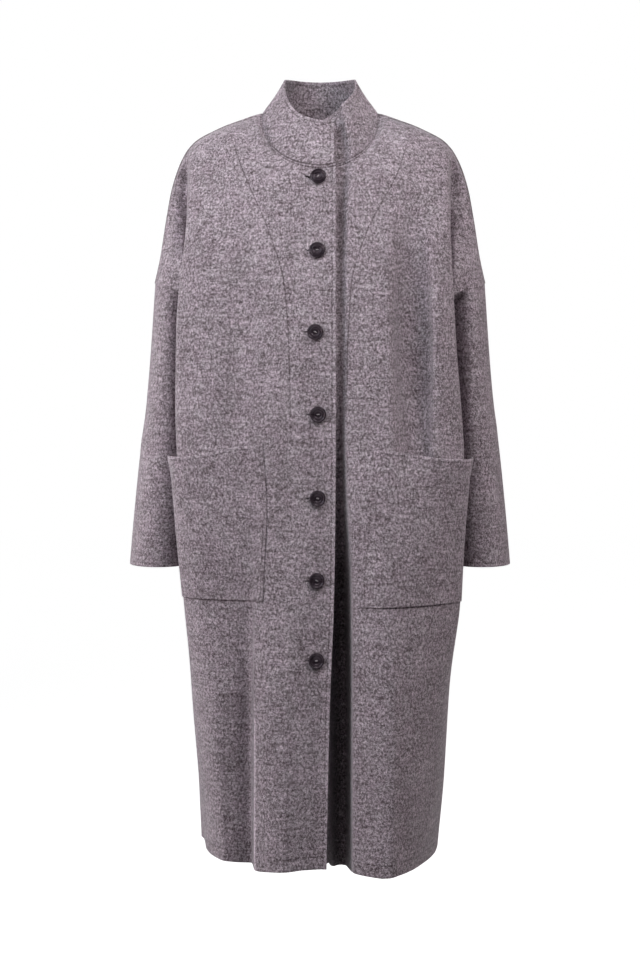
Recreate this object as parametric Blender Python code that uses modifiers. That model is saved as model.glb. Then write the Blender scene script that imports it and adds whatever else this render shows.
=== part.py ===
"""Long wool coat, hollow and buttoned, as worn. Sizes in millimetres, written out in metres."""

import math

import bmesh
import bpy
import numpy as np

# Cloth and seams. Where a seam bends into the deep fold, one edge is drawn in by the bent amount
MM = 0.001
WALL = 2.5
SEAM_GAP = 0.3
BENT_SEAM = 0.3
POCKET_LIFT = 1.1

# Neck seam: half width, front and back depth, drop of the front and back
NECK_HALF = 84.0
NECK_FRONT = 91.0
NECK_BACK = 85.0
NECK_FRONT_DROP = 80.0
NECK_BACK_DROP = 12.0
NECK_CURVE = 0.85

# Front edges: how far each front reaches past the centre line, and how proud the over edge stands
OVERLAP = 22.0
UNDERLAP = 28.0
EDGE_PROUD = 1.0

# How far the under front stands behind the over front, by level, and the distance from the centre
# line at which it comes forward again
LAP_DEPTH = ((0, 12.0), (60, 11.0), (150, 8.5), (300, 6.0), (420, 5.0), (1060, 4.5))
LAP_END = ((0, 50), (120, 43), (300, 36), (420, 35), (1060, 35))
LAP_EASE = 18.0

# Level of the underarm, where the sleeve parts from the body
UNDERARM = 345.0

# Buttons: place and height of their middles, and the turned outline as the distance in from the
# rim and the height above the back
BUTTONS = ((-2.6, -97.0), (-4.2, -200.6), (-6.2, -313.9), (-2.9, -428.3), (-4.0, -544.2), (-5.2, -658.4),
           (-5.6, -768.9))
BUTTON_RADIUS = 11.2
BUTTON_STAND = 0.8
BUTTON_SIDES = 16
BUTTON_OUTLINE = ((2.2, 0.0), (0.6, 0.8), (0.0, 2.0), (0.5, 3.6), (1.5, 4.2), (2.8, 3.8), (4.2, 2.9),
                  (11.2, 2.5))
SHANK_RADIUS = 1.5
SHANK_CLEAR = 0.6
HOLE_LONG = 24.0
HOLE_HIGH = 4.0
HOLE_DEEP = 12.0
HOLE_SHIFT = 9.0
TURN_STEP = 1.5

# Lines that run down each half of the front and of the back, with their place across the cloth
FRONT_LINES = ("edge", "centre", "neck", "neck_point", "seam", "crest", "valley", "pocket",
               "fold_edge", "groove", "arm", "side")
FRONT_AT = (-22.0, 0.0, 15.0, 30.0, 50.0, 85.0, 125.0, 165.0, 200.0, 225.0, 260.0, 300.0)
BACK_LINES = ("centre", "neck", "neck_point", "blade", "mid", "fold_edge", "groove", "arm", "side")
BACK_AT = (0.0, 15.0, 30.0, 100.0, 165.0, 200.0, 225.0, 260.0, 300.0)
COLUMN = {line: index for index, line in enumerate(FRONT_LINES)}
AT = dict(zip(FRONT_LINES, FRONT_AT))

# The shoulder seam: place across the cloth, distance from the centre, height
SHOULDER_X = ((30, 84), (50, 133), (85, 150), (125, 165), (165, 177), (200, 187), (225, 200),
              (260, 214), (300, 238))
SHOULDER_Z = ((84, 0), (95, -3), (109, -8), (133, -16.5), (152, -25), (176, -38), (189, -51),
              (198, -66), (204, -80), (213, -109), (221, -152), (230, -209), (238, -243))

# Front above the underarm: a row per level (depth of the row below the neck point), and for each
# line from centre to side its distance outward, its place to the back and its height
FRONT_UPPER = {
    25: ((0, -101, -102), (60, -84, -80), (94, -27, -17), (131, -25, -22), (148, -24, -29),
         (162, -23, -36), (174, -22, -43), (184, -21, -52), (197, -18, -76), (212, -17, -117),
         (236, -20, -244)),
    90: ((0, -112, -140), (45, -106, -124), (78, -95, -106), (108, -78, -88), (128, -70, -86),
         (148, -62, -88), (167, -54, -88), (185, -43, -88), (191, -15, -96), (206, -24, -128),
         (232, -36, -248)),
    165: ((0, -124, -195), (24, -122, -190), (48, -119, -182), (72, -115, -172), (100, -109, -165),
          (130, -99, -160), (160, -88, -157), (188, -70, -153), (191, -28, -152), (205, -41, -178),
          (216, -58, -251)),
    245: ((0, -137, -255), (16, -136.5, -253), (32, -135, -250), (50, -133, -246), (84, -129, -244),
          (124, -121, -242), (165, -108, -241), (197, -86, -240), (192, -66, -240),
          (190, -71, -249), (191, -66.5, -261)),
    300: ((0, -145, -300), (15, -144, -300), (29, -143, -300), (45, -141, -300), (82, -137, -300),
          (124, -130, -300), (168, -115, -299), (202, -91, -298), (190, -75, -297),
          (181, -66, -303), (177, -50, -312)),
}

# Front from the underarm to the hem: distance outward and place to the back
FRONT_LOWER_RIGHT = {
    345: ((0, -150), (14, -150), (28, -149), (43, -147), (80, -144), (124, -137), (168, -120),
          (203, -92), (188, -66), (174, -34), (168, 5)),
    420: ((0, -156), (14, -156), (27, -155), (41, -153), (80, -150), (126, -142), (172, -124),
          (204, -94), (188, -60), (171, -30), (166, 5)),
    485: ((0, -160), (13, -160), (26, -159), (39, -157), (82, -152), (130, -143), (172, -126),
          (202, -94), (188, -64), (169, -30), (165, 5)),
    590: ((0, -166), (12, -166), (24, -165), (37, -163), (86, -149), (132, -141), (172, -124),
          (200, -90), (188, -62), (170, -28), (166, 6)),
    690: ((0, -171), (12, -171), (25, -170), (38, -169), (88, -145), (115, -134), (160, -122),
          (194, -84), (190, -55), (182, -22), (179, 8)),
    820: ((0, -176), (13, -176), (27, -175), (41, -174), (91, -146), (101, -129), (146, -125),
          (181, -78), (185, -48), (184, -18), (182, 10)),
    950: ((0, -180), (14, -180), (29, -179), (43, -178), (92, -147), (99, -123), (138, -121),
          (168, -75), (175, -44), (177, -14), (177, 14)),
    1060: ((0, -183), (15, -183), (30, -183), (45, -182), (92, -150), (98, -119), (133, -117),
           (158, -70), (165, -36), (168, -4), (171, 26)),
}
FRONT_LOWER_LEFT = {
    345: ((0, -150), (14, -150), (26, -148), (38, -146), (78, -144), (122, -137), (162, -120),
          (193, -92), (181, -56), (172, -34), (168, 5)),
    420: ((0, -155), (14, -154), (27, -150), (37, -153), (78, -152), (124, -142), (168, -124),
          (199, -94), (186, -51), (171, -28), (166, 5)),
    485: ((0, -159), (14, -157), (30, -149), (38, -158), (80, -160), (128, -147), (170, -128),
          (203, -94), (189, -59), (170, -28), (166, 5)),
    590: ((0, -164), (12, -157), (33, -136), (42, -162), (84, -172), (124, -160), (166, -134),
          (201, -92), (190, -62), (172, -28), (167, 6)),
    690: ((0, -169), (11, -153), (34, -115), (44, -168), (88, -182), (119, -170), (158, -142),
          (199, -92), (197, -58), (190, -22), (186, 8)),
    820: ((0, -174), (11, -150), (37, -106), (46, -174), (92, -192), (116, -180), (148, -152),
          (179, -100), (186, -55), (186, -16), (184, 10)),
    950: ((0, -178), (11, -151), (37, -106), (46, -181), (94, -201), (112, -189), (138, -162),
          (166, -110), (178, -58), (181, -12), (180, 12)),
    1060: ((0, -181), (10, -153), (37, -108), (47, -188), (94, -209), (110, -196), (128, -171),
           (151, -117), (166, -60), (172, -10), (174, 25)),
}

# How far the left fold edge and seam stand in from those of the right, by level
LEFT_FOLD_IN = ((25, 0), (90, 2), (165, 4), (245, 10), (300, 12))
LEFT_SEAM_IN = ((25, 0), (90, -2), (165, 6), (245, 6), (300, 5))

# How far back the middle of the front turns below the chest, by level. The turn runs between two
# places across it, positive to the wearer's left, and ends in the deep fold
TURN_BACK = ((330, 0), (420, 4), (590, 12), (820, 14), (1060, 14))
TURN_FROM = -50.0
TURN_TO = 22.0
TURN_FOLD = (27.0, 42.0)

# The over edge drifts to the wearer's right towards the hem: level, reach past the centre line
EDGE_REACH = ((0, 22), (420, 22), (545, 21.4), (684, 19.4), (824, 14), (964, 10.5), (1060, 9))
EDGE_SEARCH = 50.0

# Folds that run over the front: half, top out and height, foot out and height, width on the side
# of the centre and on the far side, and how far the cloth is pushed out
FOLDS = (
    ("left", 138, -140, 147, -650, 48, 16, -23),
    ("left", 158, -190, 170, -470, 14, 26, 4),
    ("right", 100, -180, 114, -560, 30, 42, -14),
    ("right", 64, -330, 62, -740, 24, 34, 6),
    ("right", 140, -720, 150, -1000, 36, 36, 3),
    ("left", 100, -720, 98, -1020, 40, 40, 3),
)

# Back: the centre, the blade and the mid line. The rest of each row mirrors the front
BACK_CENTRE = {
    25: ((0, 104, -30), (58, 84, -24), (90, 27, -12), (131, 25, -22), (174, 22, -43)),
    90: ((0, 128, -100), (38, 126, -98), (72, 116, -95), (118, 98, -92), (164, 64, -92)),
    165: ((0, 142, -175), (36, 141, -174), (68, 135, -172), (114, 122, -170), (162, 94, -160)),
    245: ((0, 150, -248), (34, 149, -248), (66, 145, -247), (112, 133, -246), (166, 108, -242)),
    300: ((0, 154, -300), (34, 153, -300), (66, 149, -300), (112, 138, -300), (168, 113, -299)),
    345: ((0, 157, -345), (34, 156, -345), (66, 152, -345), (112, 141, -345), (168, 115, -345)),
    420: ((0, 160, -420), (34, 159, -420), (66, 155, -420), (112, 143, -420), (168, 117, -420)),
    485: ((0, 163, -485), (34, 162, -485), (66, 157, -485), (112, 145, -485), (170, 117, -485)),
    590: ((0, 168, -590), (34, 167, -590), (66, 162, -590), (112, 148, -590), (170, 116, -590)),
    690: ((0, 173, -690), (34, 172, -690), (66, 166, -690), (113, 151, -690), (168, 117, -690)),
    820: ((0, 179, -820), (34, 178, -820), (66, 172, -820), (114, 157, -820), (167, 120, -820)),
    950: ((0, 184, -950), (34, 183, -950), (66, 177, -950), (115, 162, -950), (166, 123, -950)),
    1060: ((0, 187, -1060), (34, 186, -1060), (66, 180, -1060), (116, 165, -1060),
           (165, 124, -1060)),
}
BACK_SPREAD = ((345, 0), (690, 0), (820, 3), (950, 7), (1060, 14))
GROOVE_HALFWAY = 0.5
ARM_HALFWAY = 0.45
GROOVE_SPREAD = 0.8
ARM_SPREAD = 0.4

# The fronts hang a little lower beside the middle: amount, the height it starts at and grows over,
# the distance outward where it is greatest and how far from there it ends
HEM_DROP = 5.0
HEM_DROP_FROM = 900.0
HEM_DROP_GROWS = 155.0
HEM_DROP_OUT = 85.0
HEM_DROP_ENDS = 60.0

# Sleeve rings below the armhole seam: height, inner and outer distance, half depth, place to the
# back. The seam and the rings have their places down the sleeve in hundredths
SLEEVE_RINGS = (
    (-400, 177, 250, 70, 4),
    (-498, 180, 262, 72, 4),
    (-586, 184, 271, 73, 3),
    (-648, 187, 276.5, 73, 2),
)
SLEEVE_DOWN = (0.0, 36.0, 62.0, 84.0, 100.0)
SLEEVE_TOP_GAP = 0.4
SLEEVE_SINK = (1.0, 0.8, 0.5, 0.2)

# Collar top edge: turn from the centre front in degrees, negative past it, and height. The over end
# lies on the under end. Then half width, depths, how full and how hollow the band is, and how much
# more the under end stands back at its top than at the seam
COLLAR_OVER = ((-23, -14.3), (0, -14), (19, -10), (36.6, -3), (60, 15.5), (79, 32), (90, 43),
               (101, 50.5), (140, 54), (180, 54))
COLLAR_UNDER = ((-30, -14), (0, -14), (12.4, -8), (23.8, 2), (40.8, 12), (60, 24), (79, 35),
                (90, 43.5), (101, 51), (140, 54), (180, 54))
COLLAR_HALF = 52.0
COLLAR_FRONT = 62.0
COLLAR_BACK = 76.0
COLLAR_FULL = 1.0
COLLAR_HOLLOW = 1.5
COLLAR_APART = 1.3
COLLAR_END_TURN = 7.4
COLLAR_END_FROM = 40.0
COLLAR_END_EASE = 55.0

# Pockets, inner edge: height, distance outward. Mouth: share of the width, height. The mouth gapes
# from a share of the width on, most at the side
POCKET_INNER_RIGHT = ((-468, 79), (-524, 74), (-563, 72), (-660, 75), (-690, 76))
POCKET_INNER_LEFT = ((-475, 73), (-500, 70), (-592, 63), (-663, 57), (-692, 57))
POCKET_MOUTH_RIGHT = ((0, -468), (0.3, -476), (0.5, -482), (0.75, -488), (1, -486))
POCKET_MOUTH_LEFT = ((0, -476), (0.3, -482), (0.55, -489), (0.8, -492), (1, -488))
POCKET_FOOT_RIGHT = -688.0
POCKET_FOOT_LEFT = -694.0
POCKET_OUTER_AT = 214.0
POCKET_GAPE = 11.0
GAPE_FROM = 0.25
GAPE_GROWS = 1.2
GAPE_FADES = 1.6


def slopes(knots, values):
    """Slope at each knot that keeps the curve between its neighbours."""
    step = np.diff(knots).reshape((-1,) + (1,) * (values.ndim - 1))
    rise = np.diff(values, axis=0) / step
    made = np.zeros_like(values)
    made[0] = rise[0]
    made[-1] = rise[-1]
    first, second = rise[:-1], rise[1:]
    near = 2 * step[1:] + step[:-1]
    far = step[1:] + 2 * step[:-1]
    same = first * second > 1e-12
    safe_first = np.where(same, first, 1.0)
    safe_second = np.where(same, second, 1.0)
    mean = (near + far) / (near / safe_first + far / safe_second)
    made[1:-1] = np.where(same, mean, 0.0)
    return made


def curve(knots, values, at):
    """Smooth curve through values at knots. Each query has its own column of values."""
    knots = np.asarray(knots, float)
    values = np.asarray(values, float)
    at = np.asarray(at, float)
    slope = slopes(knots, values)
    index = np.clip(np.searchsorted(knots, at, side="right") - 1, 0, len(knots) - 2)
    column = np.arange(len(at))
    step = knots[index + 1] - knots[index]
    share = (at - knots[index]) / step
    if values.ndim == 1:
        low, high = values[index], values[index + 1]
        low_slope, high_slope = slope[index] * step, slope[index + 1] * step
    elif values.ndim == 2:
        low, high = values[index], values[index + 1]
        low_slope, high_slope = slope[index] * step[:, None], slope[index + 1] * step[:, None]
        share = share[:, None]
    else:
        low, high = values[index, column], values[index + 1, column]
        low_slope = slope[index, column] * step[:, None]
        high_slope = slope[index + 1, column] * step[:, None]
        share = share[:, None]
    inside = np.clip(share, 0, 1)
    square = inside * inside
    cube = square * inside
    made = ((2 * cube - 3 * square + 1) * low + (cube - 2 * square + inside) * low_slope
            + (3 * square - 2 * cube) * high + (cube - square) * high_slope)
    before = np.where(share < 0, share, 0)
    after = np.where(share > 1, share - 1, 0)
    return made + before * low_slope + after * high_slope


def table(rows, at):
    """A short two-column table read as a smooth curve."""
    knots = [row[0] for row in rows]
    values = [row[1] for row in rows]
    return curve(knots, values, np.clip(np.atleast_1d(at), knots[0], knots[-1]))


def smooth(share):
    """Soft step from nothing to one."""
    inside = np.clip(share, 0, 1)
    return inside * inside * (3 - 2 * inside)


def neck_seam(angle, back=False):
    """Point of the neck seam. The angle is 0 at the centre and 90 degrees at the neck point."""
    turn = np.radians(angle)
    depth = NECK_BACK if back else -NECK_FRONT
    drop = NECK_BACK_DROP if back else NECK_FRONT_DROP
    level = np.clip(np.cos(turn), 0, 1) ** NECK_CURVE
    return np.stack([NECK_HALF * np.sin(turn), depth * np.cos(turn), -drop * level], axis=-1)


def top_row(across, back):
    """The neck seam and then the shoulder seam, by place across the cloth."""
    across = np.asarray(across, float)
    made = np.zeros((len(across), 3))
    neck = across <= AT["neck_point"]
    angle = np.where(across < 0, np.degrees(np.arcsin(np.clip(across, -80, 0) / NECK_HALF)),
                     90 * across / AT["neck_point"])
    made[neck] = neck_seam(angle[neck], back)
    out = table(SHOULDER_X, across)
    made[~neck] = np.stack([out, np.zeros_like(out), table(SHOULDER_Z, out)], axis=-1)[~neck]
    return made


def level_rows(lower):
    """Levels and rows of points of a table whose heights are its levels."""
    return {level: [(x, y, -level) for x, y in points] for level, points in lower.items()}


def front_net(side):
    """Levels and rows of points for one half of the front, outward distances positive."""
    right_rows = level_rows(FRONT_LOWER_RIGHT)
    own_rows = right_rows if side == "right" else level_rows(FRONT_LOWER_LEFT)
    levels, full = [], []
    for level, points in {**FRONT_UPPER, **own_rows}.items():
        row = np.array(points, float)
        if side == "left" and level in FRONT_UPPER:
            row[COLUMN["fold_edge"] - 1, 0] -= table(LEFT_FOLD_IN, level)[0]
            row[COLUMN["groove"] - 1, 0] -= table(LEFT_FOLD_IN, level)[0]
            row[COLUMN["seam"] - 1, 0] -= table(LEFT_SEAM_IN, level)[0]
        even = np.array(right_rows[level], float) if level in right_rows else row
        line = curve(FRONT_AT[1:], even, np.linspace(0, EDGE_SEARCH, 201))
        reach = table(EDGE_REACH, level)[0] if side == "right" else UNDERLAP
        proud = EDGE_PROUD if side == "right" else 0.0
        back_by = np.interp(reach, line[:, 0], line[:, 1]) - proud
        height = np.interp(reach, line[:, 0], line[:, 2])
        levels.append(float(level))
        full.append(np.vstack([[-reach, back_by, height], row]))
    return np.array(levels), np.array(full)


def back_net(side):
    """Levels and rows of points for one half of the back, which meets the front at the side line."""
    levels, front_rows = front_net("right")
    own_rows = front_net(side)[1]
    made = []
    for level, row, own in zip(levels, front_rows, own_rows):
        fold_edge, groove, arm, seam = row[COLUMN["fold_edge"]:].copy()
        seam[0] = own[COLUMN["side"], 0]
        seam[1] = own[COLUMN["side"], 1]
        fold_edge[1], groove[1], arm[1] = -fold_edge[1], -groove[1], -arm[1]
        if level >= UNDERARM:
            groove[1] = max(groove[1], seam[1] + GROOVE_HALFWAY * (fold_edge[1] - seam[1]))
            arm[1] = seam[1] + ARM_HALFWAY * (groove[1] - seam[1])
        else:
            seam[1] = -seam[1]
        grown = table(BACK_SPREAD, level)[0]
        fold_edge[0] += grown
        groove[0] += GROOVE_SPREAD * grown
        arm[0] += ARM_SPREAD * grown
        made.append(np.vstack([BACK_CENTRE[int(level)], fold_edge, groove, arm, seam]))
    return levels, np.array(made)


def surface(side, across, level, back=False, troughs=True):
    """Outer face of the body: points at places across the cloth and levels down it."""
    across = np.asarray(across, float).ravel()
    level = np.asarray(level, float).ravel()
    levels, rows = back_net(side) if back else front_net(side)
    knots = np.array(BACK_AT if back else FRONT_AT)
    if side == "left" and not back:
        knots[0] = -UNDERLAP
    stack = [top_row(across, back)]
    for row in rows:
        stack.append(curve(knots, row, across))
    points = curve(np.concatenate([[0.0], levels]), np.array(stack), level)
    sign = -1.0 if side == "right" else 1.0
    if not back:
        if side == "left":
            points[:, 1] += lap_depth(points[:, 0], level)
        points[:, 1] -= fold_push(side, points, troughs)
        points[:, 1] += turned_back(sign * points[:, 0], level)
    points[:, 0] *= sign
    return points


def turned_back(place, level):
    """How far back the middle of the front turns at a place across it."""
    amount = table(TURN_BACK, level)
    rise = smooth((place - TURN_FROM) / (TURN_TO - TURN_FROM))
    fall = smooth((TURN_FOLD[1] - place) / (TURN_FOLD[1] - TURN_FOLD[0]))
    return amount * rise * fall


def lap_depth(out, level):
    """How far the under front stands back, by its distance from the centre line."""
    return table(LAP_DEPTH, level) * smooth((table(LAP_END, level) - out) / LAP_EASE)


def fold_push(side, points, troughs):
    """How far the soft ridges and troughs push the cloth out, each fading towards its ends."""
    made = np.zeros(len(points))
    for half, top_out, top_z, foot_out, foot_z, near, far, push in FOLDS:
        if half != side or (push < 0 and not troughs):
            continue
        along = (top_z - points[:, 2]) / (top_z - foot_z)
        aside = points[:, 0] - top_out - (foot_out - top_out) * along
        share = np.clip(np.abs(aside) / np.where(aside < 0, near, far), 0, 1)
        made += push * np.sin(np.pi * np.clip(along, 0, 1)) * np.cos(0.5 * np.pi * share) ** 2
    return made


def drop_hem(points):
    """The fronts hang a little lower beside the middle."""
    low = np.clip((-points[..., 2] - HEM_DROP_FROM) / HEM_DROP_GROWS, 0, 1)
    near = np.clip(1 - np.abs(np.abs(points[..., 0]) - HEM_DROP_OUT) / HEM_DROP_ENDS, 0, 1)
    made = points.copy()
    made[..., 2] -= HEM_DROP * low * near
    return made


def armhole(side, share):
    """The armhole seam. The share runs from the shoulder tip by the front to the underarm and back."""
    share = np.mod(np.asarray(share, float), 1.0)
    fore = share <= 0.5
    level = UNDERARM * np.where(fore, 2 * share, 2 * (1 - share))
    edge = np.full_like(level, AT["side"])
    fore_line = surface(side, edge, level)
    rear_line = surface(side, edge, level, back=True)
    return np.where(fore[:, None], fore_line, rear_line)


def ring(side, share, height, inner, outer, half_depth, back_by):
    """A level ring of the sleeve, starting at its outer side and going round by the front."""
    turn = 2 * np.pi * share
    sign = -1.0 if side == "right" else 1.0
    middle, half = (inner + outer) / 2, (outer - inner) / 2
    return np.stack([sign * (middle + half * np.cos(turn)), back_by - half_depth * np.sin(turn),
                     np.full_like(turn, height)], axis=-1)


def sleeve_place(side, share, down):
    """Sleeve surface: share round it, and down from 0 at the armhole seam to 100 at the cuff."""
    share = np.asarray(share, float)
    stack = [armhole(side, share)]
    for height, inner, outer, half_depth, back_by in SLEEVE_RINGS:
        stack.append(ring(side, share, height, inner, outer, half_depth, back_by))
    return curve(SLEEVE_DOWN, np.array(stack), down)


def collar_place(angle, up):
    """Collar surface: angle round the neck from the under end, up from 0 at the seam to 100."""
    angle = np.asarray(angle, float)
    under = angle < 180
    around = np.where(under, angle, 360 - angle)
    top_around = around - COLLAR_END_TURN * smooth((COLLAR_END_FROM - around) / COLLAR_END_EASE)
    side = np.where(under, 1.0, -1.0)
    behind = around > 90
    quarter = np.where(behind, 180 - around, around)
    foot = np.where(behind[:, None], neck_seam(quarter, True), neck_seam(quarter, False))
    foot[:, 0] *= side
    turn = np.radians(top_around)
    height = np.where(under, table(COLLAR_UNDER, top_around), table(COLLAR_OVER, top_around))
    top = np.stack([side * COLLAR_HALF * np.sin(turn),
                    np.where(behind, -COLLAR_BACK, -COLLAR_FRONT) * np.cos(turn), height], axis=-1)
    share = np.asarray(up, float)[:, None] / 100
    made = foot + (top - foot) * share
    out = np.stack([side * np.sin(turn), -np.cos(turn), np.zeros_like(turn)], axis=-1)
    full = COLLAR_FULL * np.sin(np.pi * share)
    hollow = COLLAR_HOLLOW * np.sin(turn)[:, None] ** 4 * np.sin(np.pi * share ** 1.3)
    made += out * (full - hollow)
    apart = 1 + (COLLAR_APART - 1) * np.asarray(up, float) / 100
    made[:, 1] += np.where(angle < 90, lap_depth(foot[:, 0], np.zeros_like(angle)), 0.0) * apart
    return made


def across_at(side, level, out):
    """Place across the cloth where the front reaches a distance outward at a level."""
    places = np.linspace(AT["neck_point"], AT["fold_edge"], 341)
    found = []
    for one_level, one_out in zip(level, out):
        line = np.abs(surface(side, places, np.full_like(places, one_level))[:, 0])
        found.append(places[int(np.argmin(np.abs(line - one_out)))])
    return np.array(found)


def gape(share, down):
    """How far the pocket's mouth stands off the front."""
    grown = np.clip((share - GAPE_FROM) / (1 - GAPE_FROM), 0, 1) ** GAPE_GROWS
    return POCKET_GAPE * (1 - down) ** GAPE_FADES * grown


def net(place, first, second, step=0.5):
    """Points and unit normals of a surface given by two parameters."""
    shape = first.shape + (3,)
    a, b = first.ravel(), second.ravel()
    points = place(a, b).reshape(shape)
    along_a = (place(a + step, b) - place(a - step, b)).reshape(shape)
    down = np.maximum(b - step, second.min())
    up = np.minimum(b + step, second.max())
    along_b = (place(a, up) - place(a, down)).reshape(shape)
    normal = np.cross(along_b, along_a)
    normal /= np.maximum(np.linalg.norm(normal, axis=-1, keepdims=True), 1e-9)
    return points, normal


def pulled(points, top=0.0, foot=0.0, start=0.0, end=0.0):
    """The grid with each named edge drawn in along the cloth."""
    made = points.copy()
    for amount, edge, inner in ((top, np.s_[0, :], np.s_[1, :]), (foot, np.s_[-1, :], np.s_[-2, :]),
                                (start, np.s_[:, 0], np.s_[:, 1]), (end, np.s_[:, -1], np.s_[:, -2])):
        if amount:
            way = points[inner] - points[edge]
            length = np.maximum(np.linalg.norm(way, axis=-1, keepdims=True), 1e-6)
            made[edge] += way / length * amount
    return made


def cloth(name, points, normal, slot, wrap=False):
    """A closed wall of even thickness on a grid of points on its outer face."""
    rows, columns = points.shape[:2]
    outer = points.reshape(-1, 3)
    inner = (points - WALL * normal).reshape(-1, 3)
    count = rows * columns
    verts = np.vstack([outer, inner]) * MM
    faces = []
    last = columns if wrap else columns - 1

    def corner(row, column):
        return row * columns + column % columns

    def both(a, b, c):
        faces.append((a, b, c))
        faces.append((a + count, c + count, b + count))

    for row in range(rows - 1):
        for column in range(last):
            a, b = corner(row, column), corner(row, column + 1)
            c, d = corner(row + 1, column + 1), corner(row + 1, column)
            if np.linalg.norm(outer[a] - outer[c]) <= np.linalg.norm(outer[b] - outer[d]):
                both(a, b, c)
                both(a, c, d)
            else:
                both(a, b, d)
                both(b, c, d)

    def rim(path):
        for a, b in zip(path[:-1], path[1:]):
            faces.append((a, a + count, b + count))
            faces.append((a, b + count, b))

    rim([corner(0, column) for column in range(last + 1)])
    rim([corner(rows - 1, column) for column in range(last, -1, -1)])
    if not wrap:
        rim([corner(row, columns - 1) for row in range(rows)])
        rim([corner(row, 0) for row in range(rows - 1, -1, -1)])
    return body_from(name, verts, faces, slot)


def body_from(name, verts, faces, slot):
    """An object from points and faces, turned outward."""
    mesh = bpy.data.meshes.new(name)
    mesh.from_pydata(verts.tolist(), [], faces)
    work = bmesh.new()
    work.from_mesh(mesh)
    bmesh.ops.recalc_face_normals(work, faces=work.faces)
    if work.calc_volume(signed=True) < 0:
        bmesh.ops.reverse_faces(work, faces=work.faces)
    work.to_mesh(mesh)
    work.free()
    mesh.shade_smooth()
    mesh.materials.append(slot)
    piece = bpy.data.objects.new(name, mesh)
    coat.objects.link(piece)
    return piece


def material(name, colour, roughness):
    """A plain material that stands for the finish."""
    slot = bpy.data.materials.new(name)
    slot.use_nodes = True
    shader = slot.node_tree.nodes["Principled BSDF"]
    shader.inputs["Base Color"].default_value = colour + (1.0,)
    shader.inputs["Roughness"].default_value = roughness
    shader.inputs["Metallic"].default_value = 0.0
    return slot


def spread(start, stop, count):
    """Evenly spaced places, both ends with them."""
    return np.linspace(start, stop, count)


def joined(*parts):
    """Runs of places joined end to end without repeats."""
    made = list(parts[0])
    for part in parts[1:]:
        made.extend(part[1:])
    return np.array(made)


LEVELS = joined([0.0, 12.0, 25.0], spread(25, 90, 4), spread(90, UNDERARM, 9),
                spread(UNDERARM, 690, 8), spread(690, 1060, 7))
UNDERARM_ROW = int(np.argmin(np.abs(LEVELS - UNDERARM)))
NECK_AT = spread(AT["centre"], AT["neck_point"], 7)
SEAM_AT = spread(AT["neck_point"], AT["seam"], 3)
SIDE_FRONT_AT = joined(spread(AT["seam"], AT["crest"], 3), spread(AT["crest"], AT["valley"], 4),
                       spread(AT["valley"], AT["pocket"], 6), spread(AT["pocket"], AT["fold_edge"], 3),
                       spread(AT["fold_edge"], AT["groove"], 4), spread(AT["groove"], AT["side"], 5))
BACK_PANEL_AT = joined(NECK_AT, spread(AT["neck_point"], AT["fold_edge"], 7),
                       spread(AT["fold_edge"], AT["side"], 6))


def shoulder_normals(points):
    """Normals that the front and the back share along the shoulder seam."""
    along = np.gradient(points[0], axis=0)
    shared = np.cross(along, np.array([0.0, 1.0, 0.0]))
    shared /= np.linalg.norm(shared, axis=-1, keepdims=True)
    return shared * np.sign(shared[:, 2:3])


def side_normals(line, sign):
    """Normals that the front and the back share down the side seam."""
    down = np.gradient(line, axis=0)
    made = np.cross(down, np.array([0.0, 1.0, 0.0]))
    made /= np.linalg.norm(made, axis=-1, keepdims=True)
    return made * np.sign(made[:, :1]) * sign


def panel(side, acrosses, back=False):
    """Outer points and outward normals of a body panel, which agree with its neighbours at the seams."""
    across, level = np.meshgrid(acrosses, LEVELS)
    points, normal = net(lambda a, b: surface(side, a, b, back), across, level)
    sign = -1.0 if side == "right" else 1.0
    normal *= -sign if back else sign
    shoulder = acrosses >= AT["neck_point"]
    normal[0, shoulder] = shoulder_normals(points)[shoulder]
    if acrosses[-1] == AT["side"]:
        normal[UNDERARM_ROW:, -1] = side_normals(points[UNDERARM_ROW:, -1], sign)
    return points, normal


def front_panel(name, side, acrosses, slot, start=0.0, end=0.0):
    points, normal = panel(side, acrosses)
    points = pulled(drop_hem(points), top=SEAM_GAP / 2, start=start, end=end)
    return cloth(name, points, normal, slot)


def back_panel(name, side, slot):
    points, normal = panel(side, BACK_PANEL_AT, back=True)
    normal[:, 0, 0] = 0.0
    points = pulled(points, top=SEAM_GAP / 2, start=SEAM_GAP / 2, end=SEAM_GAP / 2)
    return cloth(name, points, normal, slot)


def sleeve(name, side, slot):
    fore = LEVELS[LEVELS <= UNDERARM] / UNDERARM / 2
    shares = np.concatenate([fore, 1 - fore[-2:0:-1]])
    downs = joined([0.0, 5.0, 10.0], spread(10, 36, 5), spread(36, 100, 7))
    share, down = np.meshgrid(shares, downs)
    points, normal = net(lambda a, b: sleeve_place(side, a / 100, b), share * 100, down)
    middle = points.mean(axis=1, keepdims=True)
    if np.sum(normal * (points - middle)) < 0:
        normal = -normal
    points = pulled(points, top=SLEEVE_TOP_GAP)
    sunk = len(SLEEVE_SINK)
    points[:sunk] -= normal[:sunk] * np.array(SLEEVE_SINK)[:, None, None]
    return cloth(name, points, normal, slot, wrap=True)


def collar(name, slot):
    start = -np.degrees(np.arcsin(UNDERLAP / NECK_HALF))
    stop = 360 + np.degrees(np.arcsin(OVERLAP / NECK_HALF))
    angles = joined([start, start / 2, 0.0], spread(0, 360, 25), [360.0, (360 + stop) / 2, stop])
    angle, up = np.meshgrid(angles, spread(0, 100, 5))
    points, normal = net(collar_place, angle, up)
    if np.sum(normal * (points - points.mean(axis=(0, 1)))) < 0:
        normal = -normal
    points = pulled(points, top=SEAM_GAP)
    return cloth(name, points, normal, slot)


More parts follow.
